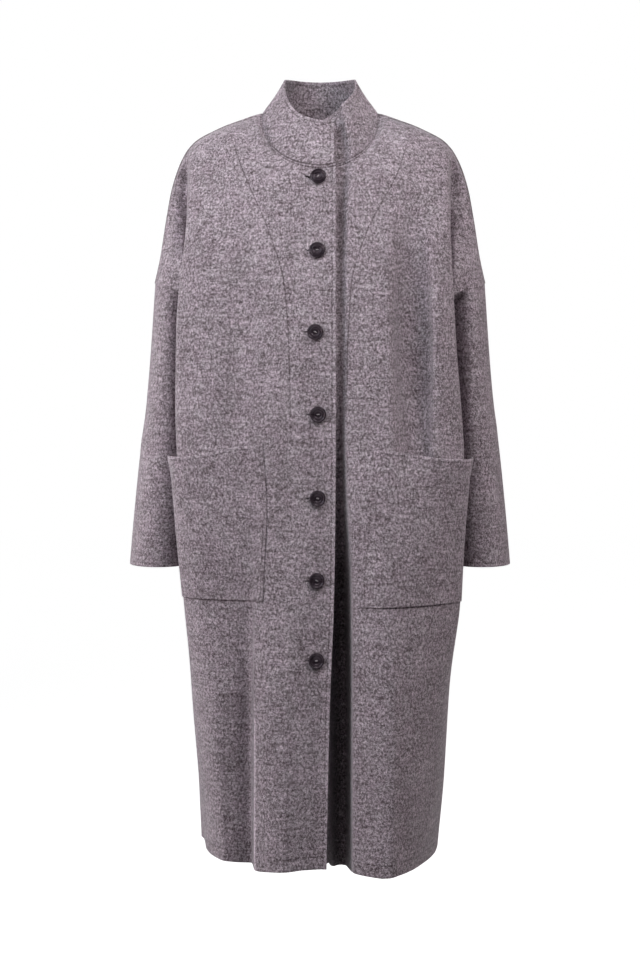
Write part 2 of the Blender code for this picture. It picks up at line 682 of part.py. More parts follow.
def pocket(name, side, slot):
    inner = POCKET_INNER_RIGHT if side == "right" else POCKET_INNER_LEFT
    mouth = POCKET_MOUTH_RIGHT if side == "right" else POCKET_MOUTH_LEFT
    foot = POCKET_FOOT_RIGHT if side == "right" else POCKET_FOOT_LEFT
    shares = joined(spread(0, 0.72, 7), spread(0.72, 1.0, 6))
    share, down = np.meshgrid(shares, spread(0, 1, 11))
    top = table(mouth, shares)[None, :]
    level = -(top + (foot - top) * down)
    out = table([(-z, x) for z, x in inner], level[:, 0])
    start = across_at(side, level[:, 0], out)
    across = start[:, None] + (POCKET_OUTER_AT - start[:, None]) * share
    points, normal = net(lambda a, b: surface(side, a, b, troughs=False), across, level)
    normal *= -1.0 if side == "right" else 1.0
    lift = POCKET_LIFT + WALL + gape(share, down)
    return cloth(name, points + normal * lift[..., None], normal, slot)


def front_point(out, height):
    """Point of the over front at a distance from the centre line and a height. It comes with its
    level, how far the cloth leans there and how far it is turned to the side."""
    places, levels = np.meshgrid(spread(0, 30, 61), spread(2, 1000, 999))
    points = surface("right", places, levels)
    found = int(np.argmin(np.hypot(points[:, 0] - out, points[:, 2] - height)))
    here, place, level = points[found], places.ravel()[found], levels.ravel()[found]
    below = surface("right", [place], [level + BUTTON_RADIUS])[0]
    beside = surface("right", [place + TURN_STEP, place - TURN_STEP], [level, level])
    lean = math.atan2(here[1] - below[1], here[2] - below[2])
    turn = math.atan2(beside[1, 1] - beside[0, 1], beside[1, 0] - beside[0, 0])
    return here, level, lean, turn


def button(name, place, level, lean, turn, slot):
    """Turned button with a rim, a dished face and its thread shank, one closed outline spun round."""
    reach = table(LAP_DEPTH, level)[0] * math.cos(lean) - SHANK_CLEAR
    profile = [(0.0, -reach), (SHANK_RADIUS, -reach), (SHANK_RADIUS, BUTTON_STAND)]
    profile += [(BUTTON_RADIUS - inset, BUTTON_STAND + up) for inset, up in BUTTON_OUTLINE]
    mesh = bpy.data.meshes.new(name)
    verts = [(radius * MM, 0.0, up * MM) for radius, up in profile]
    mesh.from_pydata(verts, [(index, index + 1) for index in range(len(verts) - 1)], [])
    mesh.materials.append(slot)
    piece = bpy.data.objects.new(name, mesh)
    coat.objects.link(piece)
    turned = piece.modifiers.new("spin", "SCREW")
    turned.axis = "Z"
    turned.steps = BUTTON_SIDES
    turned.render_steps = BUTTON_SIDES
    turned.use_merge_vertices = True
    turned.merge_threshold = 0.00001
    turned.use_normal_calculate = True
    piece.location = [value * MM for value in place]
    piece.rotation_euler = (math.pi / 2 - lean, 0.0, turn)


def buttonhole(number, place, lean, turn, front):
    """A slit through the over front, from the button towards the side."""
    bpy.ops.mesh.primitive_cube_add(size=1.0)
    cutter = bpy.context.active_object
    cutter.name = "buttonhole_cutter_%d" % number
    for collection in list(cutter.users_collection):
        collection.objects.unlink(cutter)
    cutters.objects.link(cutter)
    along = (-HOLE_SHIFT * math.cos(turn), -HOLE_SHIFT * math.sin(turn), 0.0)
    cutter.location = [(at + step) * MM for at, step in zip(place, along)]
    cutter.rotation_euler = (-lean, 0.0, turn)
    cutter.scale = (HOLE_LONG * MM, HOLE_DEEP * MM, HOLE_HIGH * MM)
    cutter.hide_render = True
    cutter.display_type = "WIRE"
    cut = front.modifiers.new("buttonhole_%d" % number, "BOOLEAN")
    cut.operation = "DIFFERENCE"
    cut.solver = "EXACT"
    cut.object = cutter


for old in list(bpy.data.objects):
    bpy.data.objects.remove(old)
coat = bpy.data.collections.new("wool_coat")
cutters = bpy.data.collections.new("cutters")
bpy.context.scene.collection.children.link(coat)
bpy.context.scene.collection.children.link(cutters)

wool = material("wool_melange", (0.235, 0.208, 0.222), 0.95)
horn = material("button_horn", (0.018, 0.019, 0.024), 0.38)

HALF_GAP = SEAM_GAP / 2
over_at = joined(spread(-OVERLAP, 0, 3), NECK_AT, SEAM_AT)
under_at = joined(spread(-UNDERLAP, 0, 3), NECK_AT, SEAM_AT)
over = front_panel("front_right_centre", "right", over_at, wool, end=HALF_GAP)
front_panel("front_left_centre", "left", under_at, wool, end=BENT_SEAM)
for side in ("right", "left"):
    front_panel("front_%s_side" % side, side, SIDE_FRONT_AT, wool, start=HALF_GAP, end=HALF_GAP)
    back_panel("back_" + side, side, wool)
    sleeve("sleeve_" + side, side, wool)
    pocket("pocket_" + side, side, wool)
collar("collar", wool)
for number, (out, height) in enumerate(BUTTONS, 1):
    place, level, lean, turn = front_point(out, height)
    button("button_%d" % number, place, level, lean, turn, horn)
    buttonhole(number, place, lean, turn, over)
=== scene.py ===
"""Look of a long grey wool coat, hollow and buttoned, as worn. The cloth is worked out in millimetres."""

import math

import bpy
import numpy as np
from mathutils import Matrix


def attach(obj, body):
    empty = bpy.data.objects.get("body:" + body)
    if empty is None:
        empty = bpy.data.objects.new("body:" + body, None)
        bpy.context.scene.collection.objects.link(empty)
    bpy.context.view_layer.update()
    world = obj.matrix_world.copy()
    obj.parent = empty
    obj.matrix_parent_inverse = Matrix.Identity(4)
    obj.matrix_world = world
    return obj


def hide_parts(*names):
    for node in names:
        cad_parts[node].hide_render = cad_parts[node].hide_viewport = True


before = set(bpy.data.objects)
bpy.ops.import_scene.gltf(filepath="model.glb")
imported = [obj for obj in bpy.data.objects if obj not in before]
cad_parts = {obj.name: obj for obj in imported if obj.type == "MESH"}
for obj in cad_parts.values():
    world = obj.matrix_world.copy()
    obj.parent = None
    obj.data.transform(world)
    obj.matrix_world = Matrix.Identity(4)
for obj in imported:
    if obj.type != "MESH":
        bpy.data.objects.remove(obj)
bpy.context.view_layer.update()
bpy.ops.object.select_all(action="DESELECT")

# Millimetres to metres, and the thickness of the cloth
MM = 0.001
WALL = 2.5

# Neck seam: half width, front and back depth, drop of the front and back
NECK_HALF = 84.0
NECK_FRONT = 91.0
NECK_BACK = 85.0
NECK_FRONT_DROP = 80.0
NECK_BACK_DROP = 12.0
NECK_CURVE = 0.85

# Front edges: how far each front reaches past the centre line, and how proud the over edge stands
OVERLAP = 22.0
UNDERLAP = 28.0
EDGE_PROUD = 1.0

# How far the under front stands behind the over front, by level, and the distance from the centre
# line at which it comes forward again
LAP_DEPTH = ((0, 12.0), (60, 11.0), (150, 8.5), (300, 6.0), (420, 5.0), (1060, 4.5))
LAP_END = ((0, 50), (120, 43), (300, 36), (420, 35), (1060, 35))
LAP_EASE = 18.0

# Level of the underarm, where the sleeve parts from the body
UNDERARM = 345.0

# Buttons: place and height of their middles, their radius, and the step to each side over which the
# cloth's turn is read
BUTTONS = ((-2.6, -97.0), (-4.2, -200.6), (-6.2, -313.9), (-2.9, -428.3), (-4.0, -544.2), (-5.2, -658.4),
           (-5.6, -768.9))
BUTTON_RADIUS = 11.2
TURN_STEP = 1.5

# Lines that run down each half of the front, and the places of the front's and the back's lines
# across the cloth
FRONT_LINES = ("edge", "centre", "neck", "neck_point", "seam", "crest", "valley", "pocket",
               "fold_edge", "groove", "arm", "side")
FRONT_AT = (-22.0, 0.0, 15.0, 30.0, 50.0, 85.0, 125.0, 165.0, 200.0, 225.0, 260.0, 300.0)
BACK_AT = (0.0, 15.0, 30.0, 100.0, 165.0, 200.0, 225.0, 260.0, 300.0)
COLUMN = {line: index for index, line in enumerate(FRONT_LINES)}
AT = dict(zip(FRONT_LINES, FRONT_AT))

# The shoulder seam: place across the cloth, distance from the centre, height
SHOULDER_X = ((30, 84), (50, 133), (85, 150), (125, 165), (165, 177), (200, 187), (225, 200),
              (260, 214), (300, 238))
SHOULDER_Z = ((84, 0), (95, -3), (109, -8), (133, -16.5), (152, -25), (176, -38), (189, -51),
              (198, -66), (204, -80), (213, -109), (221, -152), (230, -209), (238, -243))

# Front above the underarm: a row per level (depth of the row below the neck point), and for each
# line from centre to side its distance outward, its place to the back and its height
FRONT_UPPER = {
    25: ((0, -101, -102), (60, -84, -80), (94, -27, -17), (131, -25, -22), (148, -24, -29),
         (162, -23, -36), (174, -22, -43), (184, -21, -52), (197, -18, -76), (212, -17, -117),
         (236, -20, -244)),
    90: ((0, -112, -140), (45, -106, -124), (78, -95, -106), (108, -78, -88), (128, -70, -86),
         (148, -62, -88), (167, -54, -88), (185, -43, -88), (191, -15, -96), (206, -24, -128),
         (232, -36, -248)),
    165: ((0, -124, -195), (24, -122, -190), (48, -119, -182), (72, -115, -172), (100, -109, -165),
          (130, -99, -160), (160, -88, -157), (188, -70, -153), (191, -28, -152), (205, -41, -178),
          (216, -58, -251)),
    245: ((0, -137, -255), (16, -136.5, -253), (32, -135, -250), (50, -133, -246), (84, -129, -244),
          (124, -121, -242), (165, -108, -241), (197, -86, -240), (192, -66, -240),
          (190, -71, -249), (191, -66.5, -261)),
    300: ((0, -145, -300), (15, -144, -300), (29, -143, -300), (45, -141, -300), (82, -137, -300),
          (124, -130, -300), (168, -115, -299), (202, -91, -298), (190, -75, -297),
          (181, -66, -303), (177, -50, -312)),
}

# Front from the underarm to the hem: distance outward and place to the back
FRONT_LOWER_RIGHT = {
    345: ((0, -150), (14, -150), (28, -149), (43, -147), (80, -144), (124, -137), (168, -120),
          (203, -92), (188, -66), (174, -34), (168, 5)),
    420: ((0, -156), (14, -156), (27, -155), (41, -153), (80, -150), (126, -142), (172, -124),
          (204, -94), (188, -60), (171, -30), (166, 5)),
    485: ((0, -160), (13, -160), (26, -159), (39, -157), (82, -152), (130, -143), (172, -126),
          (202, -94), (188, -64), (169, -30), (165, 5)),
    590: ((0, -166), (12, -166), (24, -165), (37, -163), (86, -149), (132, -141), (172, -124),
          (200, -90), (188, -62), (170, -28), (166, 6)),
    690: ((0, -171), (12, -171), (25, -170), (38, -169), (88, -145), (115, -134), (160, -122),
          (194, -84), (190, -55), (182, -22), (179, 8)),
    820: ((0, -176), (13, -176), (27, -175), (41, -174), (91, -146), (101, -129), (146, -125),
          (181, -78), (185, -48), (184, -18), (182, 10)),
    950: ((0, -180), (14, -180), (29, -179), (43, -178), (92, -147), (99, -123), (138, -121),
          (168, -75), (175, -44), (177, -14), (177, 14)),
    1060: ((0, -183), (15, -183), (30, -183), (45, -182), (92, -150), (98, -119), (133, -117),
           (158, -70), (165, -36), (168, -4), (171, 26)),
}
FRONT_LOWER_LEFT = {
    345: ((0, -150), (14, -150), (26, -148), (38, -146), (78, -144), (122, -137), (162, -120),
          (193, -92), (181, -56), (172, -34), (168, 5)),
    420: ((0, -155), (14, -154), (27, -150), (37, -153), (78, -152), (124, -142), (168, -124),
          (199, -94), (186, -51), (171, -28), (166, 5)),
    485: ((0, -159), (14, -157), (30, -149), (38, -158), (80, -160), (128, -147), (170, -128),
          (203, -94), (189, -59), (170, -28), (166, 5)),
    590: ((0, -164), (12, -157), (33, -136), (42, -162), (84, -172), (124, -160), (166, -134),
          (201, -92), (190, -62), (172, -28), (167, 6)),
    690: ((0, -169), (11, -153), (34, -115), (44, -168), (88, -182), (119, -170), (158, -142),
          (199, -92), (197, -58), (190, -22), (186, 8)),
    820: ((0, -174), (11, -150), (37, -106), (46, -174), (92, -192), (116, -180), (148, -152),
          (179, -100), (186, -55), (186, -16), (184, 10)),
    950: ((0, -178), (11, -151), (37, -106), (46, -181), (94, -201), (112, -189), (138, -162),
          (166, -110), (178, -58), (181, -12), (180, 12)),
    1060: ((0, -181), (10, -153), (37, -108), (47, -188), (94, -209), (110, -196), (128, -171),
           (151, -117), (166, -60), (172, -10), (174, 25)),
}

# How far the left fold edge and seam stand in from those of the right, by level
LEFT_FOLD_IN = ((25, 0), (90, 2), (165, 4), (245, 10), (300, 12))
LEFT_SEAM_IN = ((25, 0), (90, -2), (165, 6), (245, 6), (300, 5))

# How far back the middle of the front turns below the chest, by level. The turn runs between two
# places across it, positive to the wearer's left, and ends in the deep fold
TURN_BACK = ((330, 0), (420, 4), (590, 12), (820, 14), (1060, 14))
TURN_FROM = -50.0
TURN_TO = 22.0
TURN_FOLD = (27.0, 42.0)

# The over edge drifts to the wearer's right towards the hem: level, reach past the centre line
EDGE_REACH = ((0, 22), (420, 22), (545, 21.4), (684, 19.4), (824, 14), (964, 10.5), (1060, 9))
EDGE_SEARCH = 50.0

# Folds that run over the front: half, top out and height, foot out and height, width on the side
# of the centre and on the far side, and how far the cloth is pushed out
FOLDS = (
    ("left", 138, -140, 147, -650, 48, 16, -23),
    ("left", 158, -190, 170, -470, 14, 26, 4),
    ("right", 100, -180, 114, -560, 30, 42, -14),
    ("right", 64, -330, 62, -740, 24, 34, 6),
    ("right", 140, -720, 150, -1000, 36, 36, 3),
    ("left", 100, -720, 98, -1020, 40, 40, 3),
)

# Back: the centre, the blade and the mid line. The rest of each row mirrors the front
BACK_CENTRE = {
    25: ((0, 104, -30), (58, 84, -24), (90, 27, -12), (131, 25, -22), (174, 22, -43)),
    90: ((0, 128, -100), (38, 126, -98), (72, 116, -95), (118, 98, -92), (164, 64, -92)),
    165: ((0, 142, -175), (36, 141, -174), (68, 135, -172), (114, 122, -170), (162, 94, -160)),
    245: ((0, 150, -248), (34, 149, -248), (66, 145, -247), (112, 133, -246), (166, 108, -242)),
    300: ((0, 154, -300), (34, 153, -300), (66, 149, -300), (112, 138, -300), (168, 113, -299)),
    345: ((0, 157, -345), (34, 156, -345), (66, 152, -345), (112, 141, -345), (168, 115, -345)),
    420: ((0, 160, -420), (34, 159, -420), (66, 155, -420), (112, 143, -420), (168, 117, -420)),
    485: ((0, 163, -485), (34, 162, -485), (66, 157, -485), (112, 145, -485), (170, 117, -485)),
    590: ((0, 168, -590), (34, 167, -590), (66, 162, -590), (112, 148, -590), (170, 116, -590)),
    690: ((0, 173, -690), (34, 172, -690), (66, 166, -690), (113, 151, -690), (168, 117, -690)),
    820: ((0, 179, -820), (34, 178, -820), (66, 172, -820), (114, 157, -820), (167, 120, -820)),
    950: ((0, 184, -950), (34, 183, -950), (66, 177, -950), (115, 162, -950), (166, 123, -950)),
    1060: ((0, 187, -1060), (34, 186, -1060), (66, 180, -1060), (116, 165, -1060),
           (165, 124, -1060)),
}
BACK_SPREAD = ((345, 0), (690, 0), (820, 3), (950, 7), (1060, 14))
GROOVE_HALFWAY = 0.5
ARM_HALFWAY = 0.45
GROOVE_SPREAD = 0.8
ARM_SPREAD = 0.4

# The fronts hang a little lower beside the middle: amount, the height it starts at and grows over,
# the distance outward where it is greatest and how far from there it ends
HEM_DROP = 5.0
HEM_DROP_FROM = 900.0
HEM_DROP_GROWS = 155.0
HEM_DROP_OUT = 85.0
HEM_DROP_ENDS = 60.0

# Sleeve rings below the armhole seam: height, inner and outer distance, half depth, place to the
# back. The seam and the rings have their places down the sleeve in hundredths
SLEEVE_RINGS = (
    (-400, 177, 250, 70, 4),
    (-498, 180, 262, 72, 4),
    (-586, 184, 271, 73, 3),
    (-648, 187, 276.5, 73, 2),
)
SLEEVE_DOWN = (0.0, 36.0, 62.0, 84.0, 100.0)

# Collar top edge: turn from the centre front in degrees, negative past it, and height. The over end
# lies on the under end. Then half width, depths, how full and how hollow the band is, and how much
# more the under end stands back at its top than at the seam
COLLAR_OVER = ((-23, -14.3), (0, -14), (19, -10), (36.6, -3), (60, 15.5), (79, 32), (90, 43),
               (101, 50.5), (140, 54), (180, 54))
COLLAR_UNDER = ((-30, -14), (0, -14), (12.4, -8), (23.8, 2), (40.8, 12), (60, 24), (79, 35),
                (90, 43.5), (101, 51), (140, 54), (180, 54))
COLLAR_HALF = 52.0
COLLAR_FRONT = 62.0
COLLAR_BACK = 76.0
COLLAR_FULL = 1.0
COLLAR_HOLLOW = 1.5
COLLAR_APART = 1.3
COLLAR_END_TURN = 7.4
COLLAR_END_FROM = 40.0
COLLAR_END_EASE = 55.0

# Pockets, inner edge: height, distance outward. Mouth: share of the width, height. The mouth gapes
# from a share of the width on, most at the side
POCKET_INNER_RIGHT = ((-468, 79), (-524, 74), (-563, 72), (-660, 75), (-690, 76))
POCKET_INNER_LEFT = ((-475, 73), (-500, 70), (-592, 63), (-663, 57), (-692, 57))
POCKET_MOUTH_RIGHT = ((0, -468), (0.3, -476), (0.5, -482), (0.75, -488), (1, -486))
POCKET_MOUTH_LEFT = ((0, -476), (0.3, -482), (0.55, -489), (0.8, -492), (1, -488))
POCKET_FOOT_RIGHT = -688.0
POCKET_FOOT_LEFT = -694.0
POCKET_OUTER_AT = 214.0
POCKET_GAPE = 11.0
GAPE_FROM = 0.25
GAPE_GROWS = 1.2
GAPE_FADES = 1.6


def slopes(knots, values):
    """Slope at each knot that keeps the curve between its neighbours."""
    step = np.diff(knots).reshape((-1,) + (1,) * (values.ndim - 1))
    rise = np.diff(values, axis=0) / step
    made = np.zeros_like(values)
    made[0] = rise[0]
    made[-1] = rise[-1]
    first, second = rise[:-1], rise[1:]
    near = 2 * step[1:] + step[:-1]
    far = step[1:] + 2 * step[:-1]
    same = first * second > 1e-12
    safe_first = np.where(same, first, 1.0)
    safe_second = np.where(same, second, 1.0)
    mean = (near + far) / (near / safe_first + far / safe_second)
    made[1:-1] = np.where(same, mean, 0.0)
    return made


def curve(knots, values, at):
    """Smooth curve through values at knots. Each query has its own column of values."""
    knots = np.asarray(knots, float)
    values = np.asarray(values, float)
    at = np.asarray(at, float)
    slope = slopes(knots, values)
    index = np.clip(np.searchsorted(knots, at, side="right") - 1, 0, len(knots) - 2)
    column = np.arange(len(at))
    step = knots[index + 1] - knots[index]
    share = (at - knots[index]) / step
    if values.ndim == 1:
        low, high = values[index], values[index + 1]
        low_slope, high_slope = slope[index] * step, slope[index + 1] * step
    elif values.ndim == 2:
        low, high = values[index], values[index + 1]
        low_slope, high_slope = slope[index] * step[:, None], slope[index + 1] * step[:, None]
        share = share[:, None]
    else:
        low, high = values[index, column], values[index + 1, column]
        low_slope = slope[index, column] * step[:, None]
        high_slope = slope[index + 1, column] * step[:, None]
        share = share[:, None]
    inside = np.clip(share, 0, 1)
    square = inside * inside
    cube = square * inside
    made = ((2 * cube - 3 * square + 1) * low + (cube - 2 * square + inside) * low_slope
            + (3 * square - 2 * cube) * high + (cube - square) * high_slope)
    before = np.where(share < 0, share, 0)
    after = np.where(share > 1, share - 1, 0)
    return made + before * low_slope + after * high_slope


def table(rows, at):
    """A short two-column table read as a smooth curve."""
    knots = [row[0] for row in rows]
    values = [row[1] for row in rows]
    return curve(knots, values, np.clip(np.atleast_1d(at), knots[0], knots[-1]))


def smooth(share):
    """Soft step from nothing to one."""
    inside = np.clip(share, 0, 1)
    return inside * inside * (3 - 2 * inside)


def neck_seam(angle, back=False):
    """Point of the neck seam. The angle is 0 at the centre and 90 degrees at the neck point."""
    turn = np.radians(angle)
    depth = NECK_BACK if back else -NECK_FRONT
    drop = NECK_BACK_DROP if back else NECK_FRONT_DROP
    level = np.clip(np.cos(turn), 0, 1) ** NECK_CURVE
    return np.stack([NECK_HALF * np.sin(turn), depth * np.cos(turn), -drop * level], axis=-1)


def top_row(across, back):
    """The neck seam and then the shoulder seam, by place across the cloth."""
    across = np.asarray(across, float)
    made = np.zeros((len(across), 3))
    neck = across <= AT["neck_point"]
    angle = np.where(across < 0, np.degrees(np.arcsin(np.clip(across, -80, 0) / NECK_HALF)),
                     90 * across / AT["neck_point"])
    made[neck] = neck_seam(angle[neck], back)
    out = table(SHOULDER_X, across)
    made[~neck] = np.stack([out, np.zeros_like(out), table(SHOULDER_Z, out)], axis=-1)[~neck]
    return made


def level_rows(lower):
    """Levels and rows of points of a table whose heights are its levels."""
    return {level: [(x, y, -level) for x, y in points] for level, points in lower.items()}


def front_net(side):
    """Levels and rows of points for one half of the front, outward distances positive."""
    right_rows = level_rows(FRONT_LOWER_RIGHT)
    own_rows = right_rows if side == "right" else level_rows(FRONT_LOWER_LEFT)
    levels, full = [], []
    for level, points in {**FRONT_UPPER, **own_rows}.items():
        row = np.array(points, float)
        if side == "left" and level in FRONT_UPPER:
            row[COLUMN["fold_edge"] - 1, 0] -= table(LEFT_FOLD_IN, level)[0]
            row[COLUMN["groove"] - 1, 0] -= table(LEFT_FOLD_IN, level)[0]
            row[COLUMN["seam"] - 1, 0] -= table(LEFT_SEAM_IN, level)[0]
        even = np.array(right_rows[level], float) if level in right_rows else row
        line = curve(FRONT_AT[1:], even, np.linspace(0, EDGE_SEARCH, 201))
        reach = table(EDGE_REACH, level)[0] if side == "right" else UNDERLAP
        proud = EDGE_PROUD if side == "right" else 0.0
        back_by = np.interp(reach, line[:, 0], line[:, 1]) - proud
        height = np.interp(reach, line[:, 0], line[:, 2])
        levels.append(float(level))
        full.append(np.vstack([[-reach, back_by, height], row]))
    return np.array(levels), np.array(full)


def back_net(side):
    """Levels and rows of points for one half of the back, which meets the front at the side line."""
    levels, front_rows = front_net("right")
    own_rows = front_net(side)[1]
    made = []
    for level, row, own in zip(levels, front_rows, own_rows):
        fold_edge, groove, arm, seam = row[COLUMN["fold_edge"]:].copy()
        seam[0] = own[COLUMN["side"], 0]
        seam[1] = own[COLUMN["side"], 1]
        fold_edge[1], groove[1], arm[1] = -fold_edge[1], -groove[1], -arm[1]
        if level >= UNDERARM:
            groove[1] = max(groove[1], seam[1] + GROOVE_HALFWAY * (fold_edge[1] - seam[1]))
            arm[1] = seam[1] + ARM_HALFWAY * (groove[1] - seam[1])
        else:
            seam[1] = -seam[1]
        grown = table(BACK_SPREAD, level)[0]
        fold_edge[0] += grown
        groove[0] += GROOVE_SPREAD * grown
        arm[0] += ARM_SPREAD * grown
        made.append(np.vstack([BACK_CENTRE[int(level)], fold_edge, groove, arm, seam]))
    return levels, np.array(made)


def surface(side, across, level, back=False, troughs=True):
    """Outer face of the body: points at places across the cloth and levels down it."""
    across = np.asarray(across, float).ravel()
    level = np.asarray(level, float).ravel()
    levels, rows = back_net(side) if back else front_net(side)
    knots = np.array(BACK_AT if back else FRONT_AT)
    if side == "left" and not back:
        knots[0] = -UNDERLAP
    stack = [top_row(across, back)]
    for row in rows:
        stack.append(curve(knots, row, across))
    points = curve(np.concatenate([[0.0], levels]), np.array(stack), level)
    sign = -1.0 if side == "right" else 1.0
    if not back:
        if side == "left":
            points[:, 1] += lap_depth(points[:, 0], level)
        points[:, 1] -= fold_push(side, points, troughs)
        points[:, 1] += turned_back(sign * points[:, 0], level)
    points[:, 0] *= sign
    return points


def turned_back(place, level):
    """How far back the middle of the front turns at a place across it."""
    amount = table(TURN_BACK, level)
    rise = smooth((place - TURN_FROM) / (TURN_TO - TURN_FROM))
    fall = smooth((TURN_FOLD[1] - place) / (TURN_FOLD[1] - TURN_FOLD[0]))
    return amount * rise * fall


def lap_depth(out, level):
    """How far the under front stands back, by its distance from the centre line."""
    return table(LAP_DEPTH, level) * smooth((table(LAP_END, level) - out) / LAP_EASE)


def fold_push(side, points, troughs):
    """How far the soft ridges and troughs push the cloth out, each fading towards its ends."""
    made = np.zeros(len(points))
    for half, top_out, top_z, foot_out, foot_z, near, far, push in FOLDS:
        if half != side or (push < 0 and not troughs):
            continue
        along = (top_z - points[:, 2]) / (top_z - foot_z)
        aside = points[:, 0] - top_out - (foot_out - top_out) * along
        share = np.clip(np.abs(aside) / np.where(aside < 0, near, far), 0, 1)
        made += push * np.sin(np.pi * np.clip(along, 0, 1)) * np.cos(0.5 * np.pi * share) ** 2
    return made


def drop_hem(points):
    """The fronts hang a little lower beside the middle."""
    low = np.clip((-points[..., 2] - HEM_DROP_FROM) / HEM_DROP_GROWS, 0, 1)
    near = np.clip(1 - np.abs(np.abs(points[..., 0]) - HEM_DROP_OUT) / HEM_DROP_ENDS, 0, 1)
    made = points.copy()
    made[..., 2] -= HEM_DROP * low * near
    return made


def armhole(side, share):
    """The armhole seam. The share runs from the shoulder tip by the front to the underarm and back."""
    share = np.mod(np.asarray(share, float), 1.0)
    fore = share <= 0.5
    level = UNDERARM * np.where(fore, 2 * share, 2 * (1 - share))
    edge = np.full_like(level, AT["side"])
    fore_line = surface(side, edge, level)
    rear_line = surface(side, edge, level, back=True)
    return np.where(fore[:, None], fore_line, rear_line)


def ring(side, share, height, inner, outer, half_depth, back_by):
    """A level ring of the sleeve, starting at its outer side and going round by the front."""
    turn = 2 * np.pi * share
    sign = -1.0 if side == "right" else 1.0
    middle, half = (inner + outer) / 2, (outer - inner) / 2
    return np.stack([sign * (middle + half * np.cos(turn)), back_by - half_depth * np.sin(turn),
                     np.full_like(turn, height)], axis=-1)


def sleeve_place(side, share, down):
    """Sleeve surface: share round it, and down from 0 at the armhole seam to 100 at the cuff."""
    share = np.asarray(share, float)
    stack = [armhole(side, share)]
    for height, inner, outer, half_depth, back_by in SLEEVE_RINGS:
        stack.append(ring(side, share, height, inner, outer, half_depth, back_by))
    return curve(SLEEVE_DOWN, np.array(stack), down)


def collar_place(angle, up):
    """Collar surface: angle round the neck from the under end, up from 0 at the seam to 100."""
    angle = np.asarray(angle, float)
    under = angle < 180
    around = np.where(under, angle, 360 - angle)
    top_around = around - COLLAR_END_TURN * smooth((COLLAR_END_FROM - around) / COLLAR_END_EASE)
    side = np.where(under, 1.0, -1.0)
    behind = around > 90
    quarter = np.where(behind, 180 - around, around)
    foot = np.where(behind[:, None], neck_seam(quarter, True), neck_seam(quarter, False))
    foot[:, 0] *= side
    turn = np.radians(top_around)
    height = np.where(under, table(COLLAR_UNDER, top_around), table(COLLAR_OVER, top_around))
    top = np.stack([side * COLLAR_HALF * np.sin(turn),
                    np.where(behind, -COLLAR_BACK, -COLLAR_FRONT) * np.cos(turn), height], axis=-1)
    share = np.asarray(up, float)[:, None] / 100
    made = foot + (top - foot) * share
    out = np.stack([side * np.sin(turn), -np.cos(turn), np.zeros_like(turn)], axis=-1)
    full = COLLAR_FULL * np.sin(np.pi * share)
    hollow = COLLAR_HOLLOW * np.sin(turn)[:, None] ** 4 * np.sin(np.pi * share ** 1.3)
    made += out * (full - hollow)
    apart = 1 + (COLLAR_APART - 1) * np.asarray(up, float) / 100
    made[:, 1] += np.where(angle < 90, lap_depth(foot[:, 0], np.zeros_like(angle)), 0.0) * apart
    return made


def across_at(side, level, out):
    """Place across the cloth where the front reaches a distance outward at a level."""
    places = np.linspace(AT["neck_point"], AT["fold_edge"], 341)
    found = []
    for one_level, one_out in zip(level, out):
        line = np.abs(surface(side, places, np.full_like(places, one_level))[:, 0])
        found.append(places[int(np.argmin(np.abs(line - one_out)))])
    return np.array(found)


def gape(share, down):
    """How far the pocket's mouth stands off the front."""
    grown = np.clip((share - GAPE_FROM) / (1 - GAPE_FROM), 0, 1) ** GAPE_GROWS
    return POCKET_GAPE * (1 - down) ** GAPE_FADES * grown


def spread(start, stop, count):
    """Evenly spaced places, both ends with them."""
    return np.linspace(start, stop, count)


def front_point(out, height):
    """Point of the over front at a distance from the centre line and a height. It comes with its
    level, how far the cloth leans there and how far it is turned to the side."""
    places, levels = np.meshgrid(spread(0, 30, 61), spread(2, 1000, 999))
    points = surface("right", places, levels)
    found = int(np.argmin(np.hypot(points[:, 0] - out, points[:, 2] - height)))
    here, place, level = points[found], places.ravel()[found], levels.ravel()[found]
    below = surface("right", [place], [level + BUTTON_RADIUS])[0]
    beside = surface("right", [place + TURN_STEP, place - TURN_STEP], [level, level])
    lean = math.atan2(here[1] - below[1], here[2] - below[2])
    turn = math.atan2(beside[1, 1] - beside[0, 1], beside[1, 0] - beside[0, 0])
    return here, level, lean, turn


# Steps of the visible grids, and what the sewing looks like
ROW_STEP = 4.2
EDGE_ROUND = 0.8
EDGE_ANGLE = 50.0
EDGE_STEPS = 2
EDGE_STITCH = 5.5
HEM_STITCH = 17.0
POCKET_STITCH = 5.0
CUFF_STITCH = 5.5
NECK_LAP = 5.0
LAP_STEP = 1.2
LAP_HIGH = 1.1
POCKET_LIES = 0.3
POCKET_WALL = 1.6
MOUTH_MORE = 2.5
MOUTH_DEEP = 0.16
SLIT_HALF = 0.7
SLIT_SHIFT = 5.2
SLIT_LONG = 20.5
SLIT_ACROSS = 8.0
SLIT_SEARCH = (20, 900, 4401)
ROWS_APART = 1.6
# The rows beside the neck seam lie straight down to this level
SEAM_FLAT = 9.0
# The over edge stands off a little, and its collar end is a little shorter than the front
FLARE = 2.5
FLARE_WIDE = 11.0
COLLAR_SHORT = 2.5
SLEEVE_AROUND = 121
MERGE = 0.00002
FINE_MERGE = 0.00001
# Sharp fold of the right skirt: where it begins, its place out, how far each side of it is pushed and
# how wide, and the level from which a painted highlight shows along its edge
STEP_FROM = 620.0
STEP_GROWS = 170.0
STEP_AT = 93.0
STEP_TURN = 1.3
STEP_PROUD = 6.5
STEP_PROUD_WIDE = 32.0
STEP_BACK = 6.0
STEP_BACK_WIDE = 28.0
STEP_SHOWS = 790.0
STEP_SHOWN = 90.0
# Dip of the collar beside its under end: depth, distance from the end and half width
COLLAR_DIP = 5.0
COLLAR_DIP_AT = 52.0
COLLAR_DIP_HALF = 26.0
